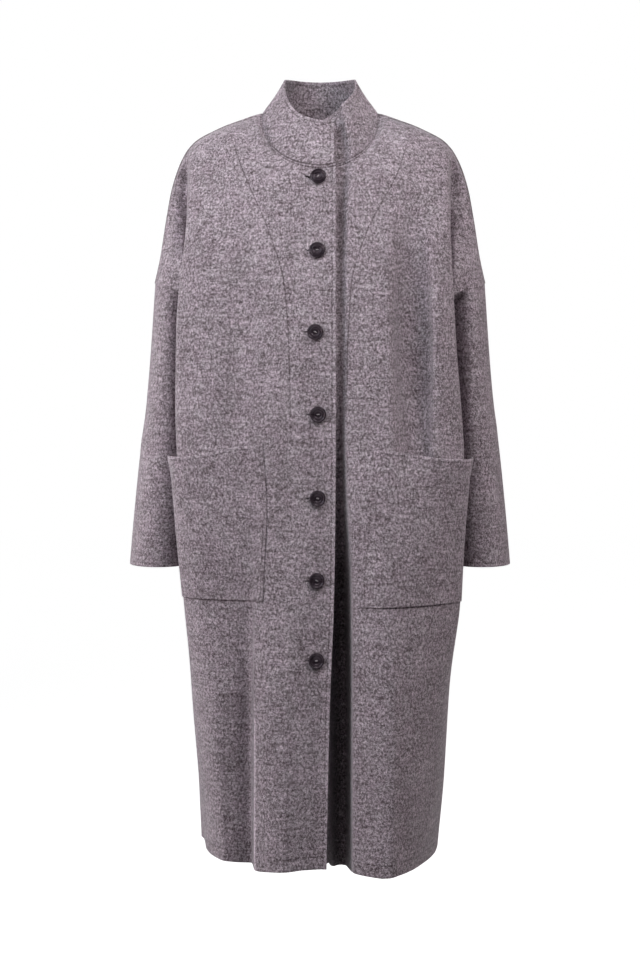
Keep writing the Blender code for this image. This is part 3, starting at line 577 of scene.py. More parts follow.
# Deep fold beside the over front, drawn further in low down, and the hollow that leads to it. The
# powers say how fast a fold fades towards its ends
FOLD_FROM = 540.0
FOLD_GROWS = 240.0
FOLD_AT = 29.5
FOLD_FLAT = 10.0
FOLD_WALL = 6.5
FOLD_IN = 62.0
FOLD_HEM_FROM = 990.0
FOLD_HEM_DROP = 23.0
HOLLOW_AT = 28.0
HOLLOW_HALF = 14.0
HOLLOW_IN = 7.5
HOLLOW_ENDS = 620.0
HOLLOW_FADES = 0.5
FOLD_HEM_GROWS = 60.0
# Buttons: outline of the turned disc as radius and height, the holes, and how each one is turned
BUTTON_FACE = ((8.8, 0.8), (10.4, 1.2), (11.1, 2.2), (11.2, 3.1), (10.9, 4.1), (10.3, 4.7), (9.5, 4.9),
               (8.8, 4.6), (8.2, 3.9), (7.7, 3.6), (7.1, 3.9), (6.3, 4.05), (5.5, 3.8), (4.8, 3.2),
               (4.0, 2.9), (1.5, 2.8))
THREAD_HOLE = 0.75
HOLE_APART = 1.7
THREAD_LIES = 2.9
THREAD_CLEAR = 0.6
BUTTON_SIDES = 48
BORE_SIDES = 16
BORE_LONG = 12.0
BUTTON_SMOOTH = 35.0
STRANDS = (-0.55, 0.0, 0.55)
STRAND_LONG = 0.5
STRAND_THICK = 0.33
STRAND_HIGH = 0.75
BUTTON_SLANTS = (42.0, 4.0, -18.0, 2.0, -14.0, -34.0, 12.0)
LIGHT_AIM = (0.0, 0.0, -0.3)
LIGHT_REACH = 2.4
LIGHT_SIZE = 1.3
# Soft boxes round the coat: name, turn from the front, height angle, power, tint
COOL = (0.84, 0.97, 1.0)
PLAIN = (1.0, 0.985, 0.985)
WARM = (1.0, 0.87, 0.88)
LIGHTS = (
    ("key", -46, 31, 25.0, COOL),
    ("left_low", -62, 3, 18.0, WARM),
    ("left_rim", -112, 4, 28.0, PLAIN),
    ("front_high", -16, 46, 14.0, PLAIN),
    ("front_fill", 46, 42, 32.0, PLAIN),
    ("right_edge", 92, 6, 8.0, WARM),
    ("back_fill", 180, 30, 14.0, PLAIN),
)
CAMERA_PLACE = (0.0, -3.287, -0.339)
CAMERA_DIP = 3.2825
FLOOR_LEVEL = -1.42
FLOOR_SIZE = 14.0
FLOOR_BACK = 3.0
# The floor glows a little, more so far away, where the lights don't reach
FLOOR_HALFWAY = 2.6
FLOOR_NEAR = (0.62, 0.62, 0.62, 1.0)
FLOOR_FAR = (0.96, 0.96, 0.96, 1.0)
FLOOR_DARK = (0.86, 0.86, 0.86, 1.0)
FLOOR_PALE = (0.90, 0.90, 0.90, 1.0)
FLOOR_TURNS = 3.0
SKY_LIGHT = 0.04


def runs(*stops, step):
    """Places from stop to stop, in even steps no longer than step."""
    made = [float(stops[0])]
    for start, stop in zip(stops[:-1], stops[1:]):
        count = max(1, math.ceil(abs(stop - start) / step - 1e-6))
        made.extend(np.linspace(start, stop, count + 1)[1:])
    return np.array(made)


def lengths(points, axis):
    """Distance along the cloth from the first row or column."""
    step = np.linalg.norm(np.diff(points, axis=axis), axis=-1)
    start = np.zeros_like(np.take(step, [0], axis=axis))
    return np.cumsum(np.concatenate([start, step], axis=axis), axis=axis)


def deselect():
    """Leave nothing selected."""
    bpy.ops.object.select_all(action="DESELECT")


def make_active(piece):
    """Select one piece alone and work on it."""
    deselect()
    piece.select_set(True)
    bpy.context.view_layer.objects.active = piece


def placed_grid(name, points, marks=None):
    """A plane grid whose vertices are moved to a table of points. It keeps its distances from the edges,
    and from what else is marked on it."""
    rows, columns = points.shape[:2]
    bpy.ops.mesh.primitive_grid_add(x_subdivisions=columns - 1, y_subdivisions=rows - 1, size=1.0)
    piece = bpy.context.active_object
    piece.name = name
    piece.data.name = name
    count = len(piece.data.vertices)
    flat = np.zeros(count * 3)
    piece.data.vertices.foreach_get("co", flat)
    flat = flat.reshape(-1, 3)
    column = np.rint((flat[:, 0] + 0.5) * (columns - 1)).astype(int)
    row = np.rint((flat[:, 1] + 0.5) * (rows - 1)).astype(int)
    piece.data.vertices.foreach_set("co", (points[row, column] * MM).ravel())
    across, down = lengths(points, 1), lengths(points, 0)
    edges = {"from_start": across, "from_end": across[:, -1:] - across,
             "from_top": down, "from_foot": down[-1:] - down, **(marks or {})}
    for label, values in edges.items():
        layer = piece.data.attributes.new(label, "FLOAT", "POINT")
        layer.data.foreach_set("value", values[row, column] * MM)
    piece.data.update()
    return piece


def face_out(piece, core):
    """Turn the faces away from a line, which is given by its place at each height."""
    total = 0.0
    for face in list(piece.data.polygons)[::7]:
        x, y = core(face.center[2])
        total += face.normal[0] * (face.center[0] - x) + face.normal[1] * (face.center[1] - y)
    if total < 0:
        piece.data.flip_normals()


def walled(piece, thick):
    """Give the cloth its thickness inward and round its raw edges."""
    make_active(piece)
    wall = piece.modifiers.new("wall", "SOLIDIFY")
    wall.thickness = thick * MM
    wall.offset = -1.0
    bpy.ops.object.modifier_apply(modifier="wall")
    edge = piece.modifiers.new("edge", "BEVEL")
    edge.limit_method = "ANGLE"
    edge.angle_limit = math.radians(EDGE_ANGLE)
    edge.width = EDGE_ROUND * MM
    edge.segments = EDGE_STEPS
    edge.use_clamp_overlap = True
    bpy.ops.object.modifier_apply(modifier="edge")
    bpy.ops.object.shade_smooth()


def body_core(height):
    """The body's own line, the same at every height."""
    return 0.0, 0.0


def across_normals(points):
    """Unit normals of a grid of points, from its own rows and columns."""
    along = np.gradient(points, axis=1)
    down = np.gradient(points, axis=0)
    normal = np.cross(along, down)
    return normal / np.maximum(np.linalg.norm(normal, axis=-1, keepdims=True), 1e-9)


def bump(distance, half):
    """A soft ridge, one at the middle and nothing past its half width."""
    share = np.clip(np.abs(distance) / half, 0, 1)
    return np.cos(0.5 * np.pi * share) ** 2


# Creases of the body: half, top out and height, foot out and height, half width, push out
CREASES = (
    ("right", 60, -170, 64, -330, 26, 0.8),
    ("right", 80, -410, 50, -1300, 30, 7.0),
    ("left", 118, -190, 124, -330, 30, -1.5),
    ("left", 126, -110, 132, -540, 38, -16.0),
    ("back right", 62, -230, 78, -1010, 44, -5.0),
    ("back right", 128, -330, 120, -1050, 36, 4.0),
    ("back right", 150, -120, 140, -420, 30, -3.0),
    ("back left", 84, -260, 92, -1050, 46, 5.0),
    ("back left", 136, -300, 132, -980, 34, -4.5),
    ("back left", 40, -520, 46, -1055, 34, -3.5),
)
CREASE_FADES = 1.2


def creased(side, points, out_way):
    """The creases of one half, pushed along the cloth's own outward direction."""
    made = points.copy()
    out = np.abs(points[..., 0])
    for half, top_x, top_z, foot_x, foot_z, width, push in CREASES:
        if half != side:
            continue
        along = (top_z - points[..., 2]) / (top_z - foot_z)
        centre = top_x + (foot_x - top_x) * along
        fade = np.sin(np.pi * np.clip(along, 0, 1)) ** CREASE_FADES
        made += out_way * (push * fade * bump(out - centre, width))[..., None]
    return made


def outward(points):
    """Normals turned away from the body's own line."""
    normal = across_normals(points)
    facing = np.sum(normal[..., :2] * points[..., :2])
    return normal if facing > 0 else -normal


def panel_points(side, acrosses, levels, back=False):
    """A grid of points of one half of the body."""
    across, level = np.meshgrid(acrosses, levels)
    points = surface(side, across.ravel(), level.ravel(), back).reshape(across.shape + (3,))
    if not back:
        points = drop_hem(points)
    return points


# Rows down the body: close together beside the neck seam, even below it
SEAM_ROWS = (0.0, 2.0, 4.4, 5.6, 7.2)
LEVELS = np.concatenate([SEAM_ROWS, runs(SEAM_FLAT, 25, 60, 1040, 1060, step=ROW_STEP)])


# Creases of the sleeves: side, share round and place down, slope, half width round, half height, push
SLEEVE_CREASES = (
    ("right", 0.10, 46, 40, 0.16, 7, 1.4), ("right", 0.90, 58, -30, 0.20, 8, -1.5),
    ("right", 0.62, 40, 30, 0.18, 8, 2.2), ("right", 0.80, 28, 40, 0.18, 7, -1.8),
    ("left", 0.12, 52, 34, 0.16, 8, 1.3), ("left", 0.88, 40, -36, 0.20, 8, -1.6),
    ("left", 0.66, 52, 28, 0.18, 9, 2.0), ("left", 0.78, 30, 44, 0.16, 7, -1.9),
)
# The cloth tucks in behind the body's fold edge: levels where it starts and ends, the place across it,
# its half width and depth. The sleeve draws back beside it too
TUCK_FROM = 150.0
TUCK_TO = 600.0
TUCK_AT = 223.0
TUCK_HALF = 21.0
TUCK_DEEP = 20.0
TUCK_FADES = 0.7
SLEEVE_TUCK_AT = 0.37
SLEEVE_TUCK_HALF = 0.13
SLEEVE_TUCK_DEEP = 20.0
SLEEVE_TUCK_GROWS = 3.0
SLEEVE_TUCK_ENDS = 80.0
SLEEVE_TUCK_FADES = 50.0


def tucked(points, across, level):
    """The side front drawn back in the groove behind the fold edge."""
    fade = np.sin(np.pi * np.clip((level - TUCK_FROM) / (TUCK_TO - TUCK_FROM), 0, 1)) ** TUCK_FADES
    made = points.copy()
    made[..., 1] += TUCK_DEEP * fade * bump(across - TUCK_AT, TUCK_HALF)
    return made


def stepped(points):
    """The sharp fold of the right skirt: one side of it stands proud, the other lies back."""
    aside = np.abs(points[..., 0]) - STEP_AT
    fade = smooth((-points[..., 2] - STEP_FROM) / STEP_GROWS)
    turn = smooth((aside + STEP_TURN) / (2 * STEP_TURN))
    proud = STEP_PROUD * bump(np.minimum(aside, 0), STEP_PROUD_WIDE)
    low = STEP_BACK * bump(np.maximum(aside, 0), STEP_BACK_WIDE)
    made = points.copy()
    made[..., 1] -= fade * (proud * (1 - turn) - low * turn)
    return made


def drawn_in(points):
    """The left front's hollow beside the over front, which grows into the deep fold lower down."""
    x, low = points[..., 0], -points[..., 2]
    made = points.copy()
    hollow = np.sin(np.pi * np.clip(low / HOLLOW_ENDS, 0, 1)) ** HOLLOW_FADES
    made[..., 1] += HOLLOW_IN * hollow * bump(x - HOLLOW_AT, HOLLOW_HALF)
    fold = 1 - smooth((np.abs(x - FOLD_AT) - FOLD_FLAT) / FOLD_WALL)
    made[..., 1] += FOLD_IN * smooth((low - FOLD_FROM) / FOLD_GROWS) * fold
    made[..., 2] -= FOLD_HEM_DROP * smooth((low - FOLD_HEM_FROM) / FOLD_HEM_GROWS) * fold
    return made


def front(name, side, acrosses, levels=LEVELS):
    """One piece of the front, with its creases, folds and raised neck edge."""
    points = panel_points(side, acrosses, levels)
    row = int(np.argmax(levels >= SEAM_FLAT))
    share = np.clip(levels / levels[row], 0, 1)[:, None, None]
    points = np.where(share < 1, points[:1] + (points[row:row + 1] - points[:1]) * share, points)
    points = creased(side, points, outward(points))
    points = stepped(points) if side == "right" else drawn_in(points)
    if acrosses[0] == -OVERLAP:
        near = smooth((FLARE_WIDE - lengths(points, 1)) / FLARE_WIDE)
        points = points + outward(points) * (FLARE * near)[..., None]
    points = tucked(points, *np.meshgrid(acrosses, levels))
    raised = smooth((NECK_LAP + LAP_STEP / 2 - lengths(points, 0)) / LAP_STEP)
    points = points + outward(points) * (LAP_HIGH * raised)[..., None]
    # Distance from the crest of the right skirt's sharp fold, which carries a painted highlight along that
    # crest low down
    from_fold = np.abs(np.abs(points[..., 0]) - STEP_AT + STEP_TURN)
    crest = np.where(from_fold < CREST_NEAR, points[..., 1], 0.0).min(axis=1, keepdims=True)
    from_fold += np.maximum(points[..., 1] - crest - CREST_DEEP, 0.0)
    from_fold += FOLD_EDGE_HALF * (1 - smooth((-points[..., 2] - STEP_SHOWS) / STEP_SHOWN))
    piece = placed_grid(name, points, {"from_fold": from_fold})
    face_out(piece, body_core)
    return piece


def back(name, side, acrosses):
    """One half of the back."""
    points = panel_points(side, acrosses, LEVELS, back=True)
    points = creased("back " + side, points, outward(points))
    piece = placed_grid(name, points)
    face_out(piece, body_core)
    return piece


def sleeve(name, side):
    """A sleeve: a tube closed along its own line, with creases."""
    shares, downs = np.meshgrid(spread(0, 1, SLEEVE_AROUND), runs(0, 4, 97, 100, step=1.0))
    points = sleeve_place(side, shares.ravel(), downs.ravel()).reshape(shares.shape + (3,))
    fade = smooth(downs / SLEEVE_TUCK_GROWS) * smooth((SLEEVE_TUCK_ENDS - downs) / SLEEVE_TUCK_FADES)
    points[..., 1] += SLEEVE_TUCK_DEEP * fade * bump(shares - SLEEVE_TUCK_AT, SLEEVE_TUCK_HALF)
    way = across_normals(points)
    for part, turn, down, slope, wide, high, push in SLEEVE_CREASES:
        if part == side:
            aside = (downs - down - slope * (shares - turn)) / high
            points += way * (push * bump(aside, 1.0) * bump(shares - turn, wide))[..., None]
    piece = placed_grid(name, points)
    make_active(piece)
    bpy.ops.object.mode_set(mode="EDIT")
    bpy.ops.mesh.select_all(action="SELECT")
    bpy.ops.mesh.remove_doubles(threshold=MERGE)
    bpy.ops.object.mode_set(mode="OBJECT")
    middles = points.mean(axis=1)

    def core(height):
        row = int(np.argmin(np.abs(middles[:, 2] - height / MM)))
        return middles[row, 0] * MM, middles[row, 1] * MM

    face_out(piece, core)
    return piece


def collar(name):
    """The standing band, its over end flared off the under end."""
    start = -math.degrees(math.asin(UNDERLAP / NECK_HALF))
    stop = 360 + math.degrees(math.asin((OVERLAP - COLLAR_SHORT) / NECK_HALF))
    angles, ups = np.meshgrid(runs(start, stop, step=2.5), runs(0, 6, 94, 100, step=4))
    points = collar_place(angles.ravel(), ups.ravel()).reshape(angles.shape + (3,))
    across = lengths(points, 1)
    near = smooth((FLARE_WIDE - across[:, -1:] + across) / FLARE_WIDE)
    dip = bump(across - COLLAR_DIP_AT, COLLAR_DIP_HALF)
    points = points + outward(points) * (FLARE * near - COLLAR_DIP * dip)[..., None]
    piece = placed_grid(name, points)
    face_out(piece, body_core)
    return piece


def pocket(name, side):
    """A patch pocket that lies on the front, its mouth gaping."""
    inner = POCKET_INNER_RIGHT if side == "right" else POCKET_INNER_LEFT
    mouth = POCKET_MOUTH_RIGHT if side == "right" else POCKET_MOUTH_LEFT
    foot = POCKET_FOOT_RIGHT if side == "right" else POCKET_FOOT_LEFT
    shares = runs(0, 0.72, 1.0, step=0.022)
    share, down = np.meshgrid(shares, runs(0, 0.02, 0.98, 1, step=0.017))
    top = table(mouth, shares)[None, :]
    level = -(top + (foot - top) * down)
    start_level = np.linspace(level[0, 0], level[-1, 0], 12)
    start = across_at(side, start_level, table([(-z, x) for z, x in inner], start_level))
    start = np.interp(level[:, 0], start_level, start)
    across = start[:, None] + (POCKET_OUTER_AT - start[:, None]) * share
    points = surface(side, across.ravel(), level.ravel(), troughs=False).reshape(across.shape + (3,))
    points = creased(side, points, outward(points))
    if side == "right":
        points = stepped(points)
    more = MOUTH_MORE * smooth((share - 0.5) / 0.4) * smooth((MOUTH_DEEP - down) / MOUTH_DEEP)
    points += outward(points) * (POCKET_LIES + POCKET_WALL + gape(share, down) + more)[..., None]
    piece = placed_grid(name, points)
    face_out(piece, body_core)
    return piece


def slit_levels():
    """Rows above and below each buttonhole."""
    levels = spread(*SLIT_SEARCH)
    heights = surface("right", np.full_like(levels, SLIT_ACROSS), levels)[:, 2]
    made = []
    for _, height in BUTTONS:
        level = levels[int(np.argmin(np.abs(heights - height)))]
        made.extend([level - SLIT_HALF, level + SLIT_HALF])
    return np.array(made)


def with_rows(levels, added):
    """Rows with others set among them, and no two of them close together."""
    kept = [level for level in levels if np.min(np.abs(added - level)) > ROWS_APART]
    return np.sort(np.concatenate([kept, added]))


def cut_slits(piece, added):
    """Take out the faces between each pair of rows, over the length of each buttonhole."""
    make_active(piece)
    bpy.ops.object.mode_set(mode="EDIT")
    bpy.ops.mesh.select_mode(type="FACE")
    bpy.ops.mesh.select_all(action="DESELECT")
    bpy.ops.object.mode_set(mode="OBJECT")
    low = surface("right", np.full_like(added, SLIT_ACROSS), added)[:, 2].reshape(-1, 2) * MM
    for face in piece.data.polygons:
        x, z = face.center[0], face.center[2]
        face.select = any(foot < z < top and abs(x - (out - SLIT_SHIFT) * MM) < SLIT_LONG * MM / 2
                          for (top, foot), (out, _) in zip(low, BUTTONS))
    bpy.ops.object.mode_set(mode="EDIT")
    bpy.ops.mesh.delete(type="FACE")
    bpy.ops.object.mode_set(mode="OBJECT")


def spun(name, outline, sides):
    """A closed turned shape: a round face, extruded and scaled along its outline of (radius, height)."""
    radius, height = outline[0]
    bpy.ops.mesh.primitive_circle_add(vertices=sides, radius=radius * MM, fill_type="NGON",
                                      location=(0.0, 0.0, height * MM))
    piece = bpy.context.active_object
    piece.name = name
    bpy.ops.object.transform_apply(location=True)
    bpy.ops.object.mode_set(mode="EDIT")
    bpy.ops.mesh.select_mode(type="FACE")
    bpy.ops.mesh.select_all(action="SELECT")
    for (old, low), (new, high) in zip(outline[:-1], outline[1:]):
        bpy.ops.mesh.extrude_region_move(TRANSFORM_OT_translate={"value": (0.0, 0.0, (high - low) * MM)})
        share = new / old
        bpy.ops.transform.resize(value=(share, share, 1.0), center_override=(0.0, 0.0, high * MM))
    bpy.ops.object.mode_set(mode="OBJECT")
    return piece


def mended(piece):
    """Merge doubles and turn the faces outward."""
    make_active(piece)
    bpy.ops.object.mode_set(mode="EDIT")
    bpy.ops.mesh.select_all(action="SELECT")
    bpy.ops.mesh.remove_doubles(threshold=FINE_MERGE)
    bpy.ops.mesh.normals_make_consistent(inside=False)
    bpy.ops.object.mode_set(mode="OBJECT")
    return piece


def settled(piece, place, lean, turn):
    """Stand a piece, made round the upright axis, on the front at its place."""
    piece.rotation_euler = (math.pi / 2 - lean, 0.0, turn)
    piece.location = [value * MM for value in place]
    make_active(piece)
    bpy.ops.object.transform_apply(location=True, rotation=True)
    return piece


def button_disc(number, slant):
    """Turned button: rim, ring and dished middle, with two thread holes bored through."""
    piece = spun("dark_button_%d" % number, BUTTON_FACE, BUTTON_SIDES)
    for way in (-1, 1):
        place = (way * HOLE_APART * MM * math.cos(slant), way * HOLE_APART * MM * math.sin(slant), 0.0)
        bpy.ops.mesh.primitive_cylinder_add(vertices=BORE_SIDES, radius=THREAD_HOLE * MM,
                                            depth=BORE_LONG * MM, location=place)
        drill = bpy.context.active_object
        bored = piece.modifiers.new("hole", "BOOLEAN")
        bored.operation = "DIFFERENCE"
        bored.solver = "EXACT"
        bored.object = drill
        make_active(piece)
        bpy.ops.object.modifier_apply(modifier="hole")
        bpy.data.objects.remove(drill)
    mended(piece)
    bpy.ops.object.shade_smooth_by_angle(angle=math.radians(BUTTON_SMOOTH))
    return piece


def button_thread(number, slant, reach):
    """Three strands that arch from hole to hole, and the wound shank behind the button."""
    piece = spun("button_thread_%d" % number, ((0.6, -reach), (1.3, -reach + 0.4), (1.5, -reach / 2),
                                               (1.3, 0.6), (0.5, 0.9)), BORE_SIDES)
    parts = [piece]
    for aside in STRANDS:
        bpy.ops.mesh.primitive_uv_sphere_add(segments=12, ring_count=10, radius=MM)
        strand = bpy.context.active_object
        strand.scale = (HOLE_APART + STRAND_LONG, STRAND_THICK, STRAND_HIGH)
        strand.rotation_euler = (0.0, 0.0, slant)
        strand.location = (-aside * MM * math.sin(slant), aside * MM * math.cos(slant), THREAD_LIES * MM)
        parts.append(strand)
    deselect()
    for part in parts:
        part.select_set(True)
    bpy.context.view_layer.objects.active = piece
    bpy.ops.object.transform_apply(location=True, rotation=True, scale=True)
    bpy.ops.object.join()
    mended(piece)
    bpy.ops.object.shade_smooth()
    return piece


class Signal:
    """A number that varies over a surface. Sums and products of it add nodes to the material."""

    def __init__(self, graph, socket):
        self.graph = graph
        self.socket = socket

    def _math(self, operation, first, second=None, clamp=False):
        node = self.graph.tree.nodes.new("ShaderNodeMath")
        node.operation = operation
        node.use_clamp = clamp
        self.graph.feed(node.inputs[0], first)
        if second is not None:
            self.graph.feed(node.inputs[1], second)
        return Signal(self.graph, node.outputs[0])

    def __add__(self, other):
        return self._math("ADD", self, other)

    def __sub__(self, other):
        return self._math("SUBTRACT", self, other)

    def __rsub__(self, other):
        return self._math("SUBTRACT", other, self)

    def __mul__(self, other):
        return self._math("MULTIPLY", self, other)

    def __truediv__(self, other):
        return self._math("DIVIDE", self, other)

    def __pow__(self, other):
        return self._math("POWER", self, other)

    def __abs__(self):
        return self._math("ABSOLUTE", self)

    def clamped(self):
        return self._math("ADD", self, 0.0, clamp=True)

    def sine(self):
        return self._math("SINE", self)


class Finish:
    """A material and the nodes that make it."""

    def __init__(self, name):
        self.material = bpy.data.materials.new(name)
        self.material.use_nodes = True
        self.tree = self.material.node_tree
        self.shader = self.tree.nodes["Principled BSDF"]

    def feed(self, socket, value):
        if isinstance(value, Signal):
            value = value.socket
        if isinstance(value, bpy.types.NodeSocket):
            self.tree.links.new(value, socket)
        else:
            socket.default_value = value

    def node(self, kind, output=0, settings=None, **inputs):
        made = self.tree.nodes.new(kind)
        for key, value in (settings or {}).items():
            setattr(made, key, value)
        for key, value in inputs.items():
            self.feed(made.inputs[key.replace("_", " ")], value)
        return Signal(self, made.outputs[output])

    def noise(self, place, scale, detail=2.0, roughness=0.5):
        """Noise from about minus one to one."""
        made = self.node("ShaderNodeTexNoise", settings={"noise_dimensions": "3D"}, Vector=place,
                         Scale=scale, Detail=detail, Roughness=roughness)
        return (made - 0.5) * 4.0

    def place(self):
        return self.node("ShaderNodeTexCoord", output="Object")

    def scaled(self, place, size):
        return self.node("ShaderNodeMapping", settings={"vector_type": "POINT"}, Vector=place, Scale=size)

    def along(self, name):
        """A distance that the mesh carries, in millimetres."""
        node = self.tree.nodes.new("ShaderNodeAttribute")
        node.attribute_name = name
        return Signal(self, node.outputs["Fac"]) * 1000.0

    def blend(self, share, first, second):
        made = self.tree.nodes.new("ShaderNodeMix")
        made.data_type = "RGBA"
        self.feed(made.inputs[0], share)
        self.feed(made.inputs[6], first)
        self.feed(made.inputs[7], second)
        return made.outputs[2]


STITCH_LENGTH = 3.6
# Wool: how fine each layer of the grain is, how strongly it shows in the tone and in the relief, and
# the colours it runs between
CLUMP_FINE = (330.0, 330.0, 270.0)
FIBRE_FINE = 760.0
SLUB_FINE = (42.0, 42.0, 330.0)
CLOUD_FINE = 22.0
PATCH_FINE = 55.0
CLUMP_TONE = 0.48
FIBRE_TONE = 0.28
SLUB_TONE = 0.11
CLOUD_TONE = 0.05
CLUMP_RELIEF = 0.30
FIBRE_RELIEF = 0.16
STITCH_RELIEF = 0.7
TONE_MIDDLE = 0.50
TONE_POWER = 1.6
WOOL_DARK = (0.066, 0.046, 0.051, 1.0)
WOOL_MAUVE = (0.748, 0.618, 0.706, 1.0)
WOOL_GREEN = (0.726, 0.630, 0.696, 1.0)
# Sewn lines: the furrow of a stitched line, the dark gap of a seam, and how pale a rubbed edge is
EDGE_DARK = 0.34
NECK_DARK = 0.55
PLAIN_DARK = 0.24
STITCH_HALF = 1.4
SEAM_DARK = 0.46
NECK_SEAM_DARK = 0.8
SEAM_HALF = 1.3
NECK_HALF_DARK = 1.9
# The shoulder seam's dark line is widened to this half width: partly a seam line, partly painted shade along
# the shoulder
SHOULDER_SHADE_HALF = 4.0
# Where the front seams come out of the cloth and fade away again, down from the top
SEAM_COMES = (30.0, 45.0)
SEAM_GOES = (400.0, 130.0)
# Rubbed edges: how pale, how far in and how wide. The skirt's sharp fold gets a paler painted highlight
# along its crest, which is looked for this near the fold, down to this depth behind it
RUB_PALE = 0.07
RUB_AT = 2.3
RUB_HALF = 2.2
FOLD_PAINTED_HIGHLIGHT = 0.42
FOLD_EDGE_HALF = 2.8
CREST_NEAR = 8.0
CREST_DEEP = 7.5


def stitch_line(distance, along):
    """A sewn furrow with a deeper dip every stitch."""
    near = (1.0 - abs(distance) / STITCH_HALF).clamped()
    stitch = (along * (2 * math.pi / STITCH_LENGTH)).sine() * 0.35 + 0.65
    return near * stitch


def wool(name, stitched=(), seams=(), rubbed_and_highlit=(), faded=False):
    """Milled melange wool: dark and pale fibres felted together. Stitched lines are given by the edge
    they follow, their distance from it, the way along it and how dark they are, seams by their edge,
    half width and darkness, rubbed edges and painted highlights by their edge, how far in they are,
    half width and paleness. The side seams can fade at both ends."""
    finish = Finish(name)
    place = finish.place()
    clumps = finish.noise(finish.scaled(place, CLUMP_FINE), 1.0, detail=3.0, roughness=0.7)
    fibres = finish.noise(place, FIBRE_FINE, detail=1.0)
    slubs = finish.noise(finish.scaled(place, SLUB_FINE), 1.0, detail=1.0)
    cloud = finish.noise(place, CLOUD_FINE)
    tone = clumps * CLUMP_TONE + fibres * FIBRE_TONE + slubs * SLUB_TONE + cloud * CLOUD_TONE
    height = clumps * CLUMP_RELIEF + fibres * FIBRE_RELIEF
    for edge, offset, along_edge, dark in stitched:
        line = stitch_line(finish.along(edge) - offset, finish.along(along_edge))
        tone = tone - line * dark
        height = height - line * STITCH_RELIEF
    for edge, half, dark in seams:
        gap = (1.0 - finish.along(edge) / half).clamped() * (clumps * 0.45 + 0.70).clamped()
        if faded and edge != "from_top":
            down = finish.along("from_top")
            comes = ((down - SEAM_COMES[0]) / SEAM_COMES[1]).clamped()
            goes = 1.0 - ((down - SEAM_GOES[0]) / SEAM_GOES[1]).clamped()
            gap = gap * comes * goes
        tone = tone - gap * dark
    # Rubbed edges lighten the tone, and so does the painted highlight along the skirt's sharp fold
    for edge, inside, half, pale in rubbed_and_highlit:
        rub_and_highlight = (1.0 - abs(finish.along(edge) - inside) / half).clamped()
        tone = tone + rub_and_highlight * pale
    share = (tone + TONE_MIDDLE).clamped() ** TONE_POWER
    patches = finish.noise(place, PATCH_FINE)
    pale = finish.blend((patches * 0.8 + 0.5).clamped(), WOOL_MAUVE, WOOL_GREEN)
    finish.feed(finish.shader.inputs["Base Color"], finish.blend(share, WOOL_DARK, pale))
    relief = finish.node("ShaderNodeBump", Strength=0.75, Distance=0.001, Height=height)
    finish.feed(finish.shader.inputs["Normal"], relief)
    finish.shader.inputs["Roughness"].default_value = 0.95
    finish.shader.inputs["Specular IOR Level"].default_value = 0.2
    finish.shader.inputs["Sheen Weight"].default_value = 0.35
    finish.shader.inputs["Sheen Roughness"].default_value = 0.45
    finish.shader.inputs["Sheen Tint"].default_value = (0.95, 0.9, 0.94, 1.0)
    return finish.material


HORN_DARK = (0.010, 0.006, 0.009, 1.0)
HORN_PALE = (0.025, 0.017, 0.023, 1.0)
THREAD_GREY = (0.50, 0.44, 0.47, 1.0)
THREAD_SHADE = 0.6


def horn(name):
    """Dark turned horn with faint layers."""
    finish = Finish(name)
    place = finish.place()
    layers = finish.noise(finish.scaled(place, (90.0, 300.0, 500.0)), 1.0, detail=3.0)
    colour = finish.blend((layers * 0.5 + 0.5).clamped(), HORN_DARK, HORN_PALE)
    finish.feed(finish.shader.inputs["Base Color"], colour)
    finish.feed(finish.shader.inputs["Roughness"], layers * 0.04 + 0.28)
    finish.shader.inputs["Specular IOR Level"].default_value = 0.28
    finish.shader.inputs["Specular Tint"].default_value = (1.0, 0.82, 0.95, 1.0)
    scratches = finish.noise(place, 900.0)
    relief = finish.node("ShaderNodeBump", Strength=0.15, Distance=0.0002, Height=scratches)
    finish.feed(finish.shader.inputs["Normal"], relief)
    return finish.material


def thread(name, colour):
    """Twisted sewing thread."""
    finish = Finish(name)
    place = finish.place()
    twist = finish.noise(finish.scaled(place, (900.0, 900.0, 900.0)), 1.0, detail=1.0)
    dark = tuple(value * THREAD_SHADE for value in colour[:3]) + (1.0,)
    finish.feed(finish.shader.inputs["Base Color"], finish.blend((twist * 0.5 + 0.5).clamped(), dark, colour))
    finish.shader.inputs["Roughness"].default_value = 0.6
    relief = finish.node("ShaderNodeBump", Strength=0.4, Distance=0.0002, Height=twist)
    finish.feed(finish.shader.inputs["Normal"], relief)
    return finish.material


def dress(piece, material, nodes):
    """Finish a piece: its material, the node it stands for and the body it rides on."""
    piece.data.materials.clear()
    piece.data.materials.append(material)
    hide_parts(*nodes)
    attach(piece, "root")


def cut_to(width, length, area):
    """Reckons the size of the flat piece of cloth, in millimetres, and its area as a share of that rectangle,
    and keeps none of it.
    """
    width * MM
    length * MM
    area * width * length * MM * MM


# Cloth
NECK_LINE = ("from_top", NECK_LAP, "from_start", NECK_DARK)
HEM_LINE = ("from_foot", HEM_STITCH, "from_start", PLAIN_DARK)
NECK_SEAM = ("from_top", NECK_HALF_DARK, NECK_SEAM_DARK)
START_SEAM = ("from_start", SEAM_HALF, SEAM_DARK)
TOP_SEAM = ("from_top", SEAM_HALF, SEAM_DARK)
START_RUB = ("from_start", RUB_AT, RUB_HALF, RUB_PALE)
FOOT_RUB = ("from_foot", RUB_AT, RUB_HALF, RUB_PALE)
front_wool = wool("wool_front", (("from_start", EDGE_STITCH, "from_top", EDGE_DARK), NECK_LINE, HEM_LINE),
                  (("from_end", SEAM_HALF, SEAM_DARK), NECK_SEAM), (START_RUB,), faded=True)
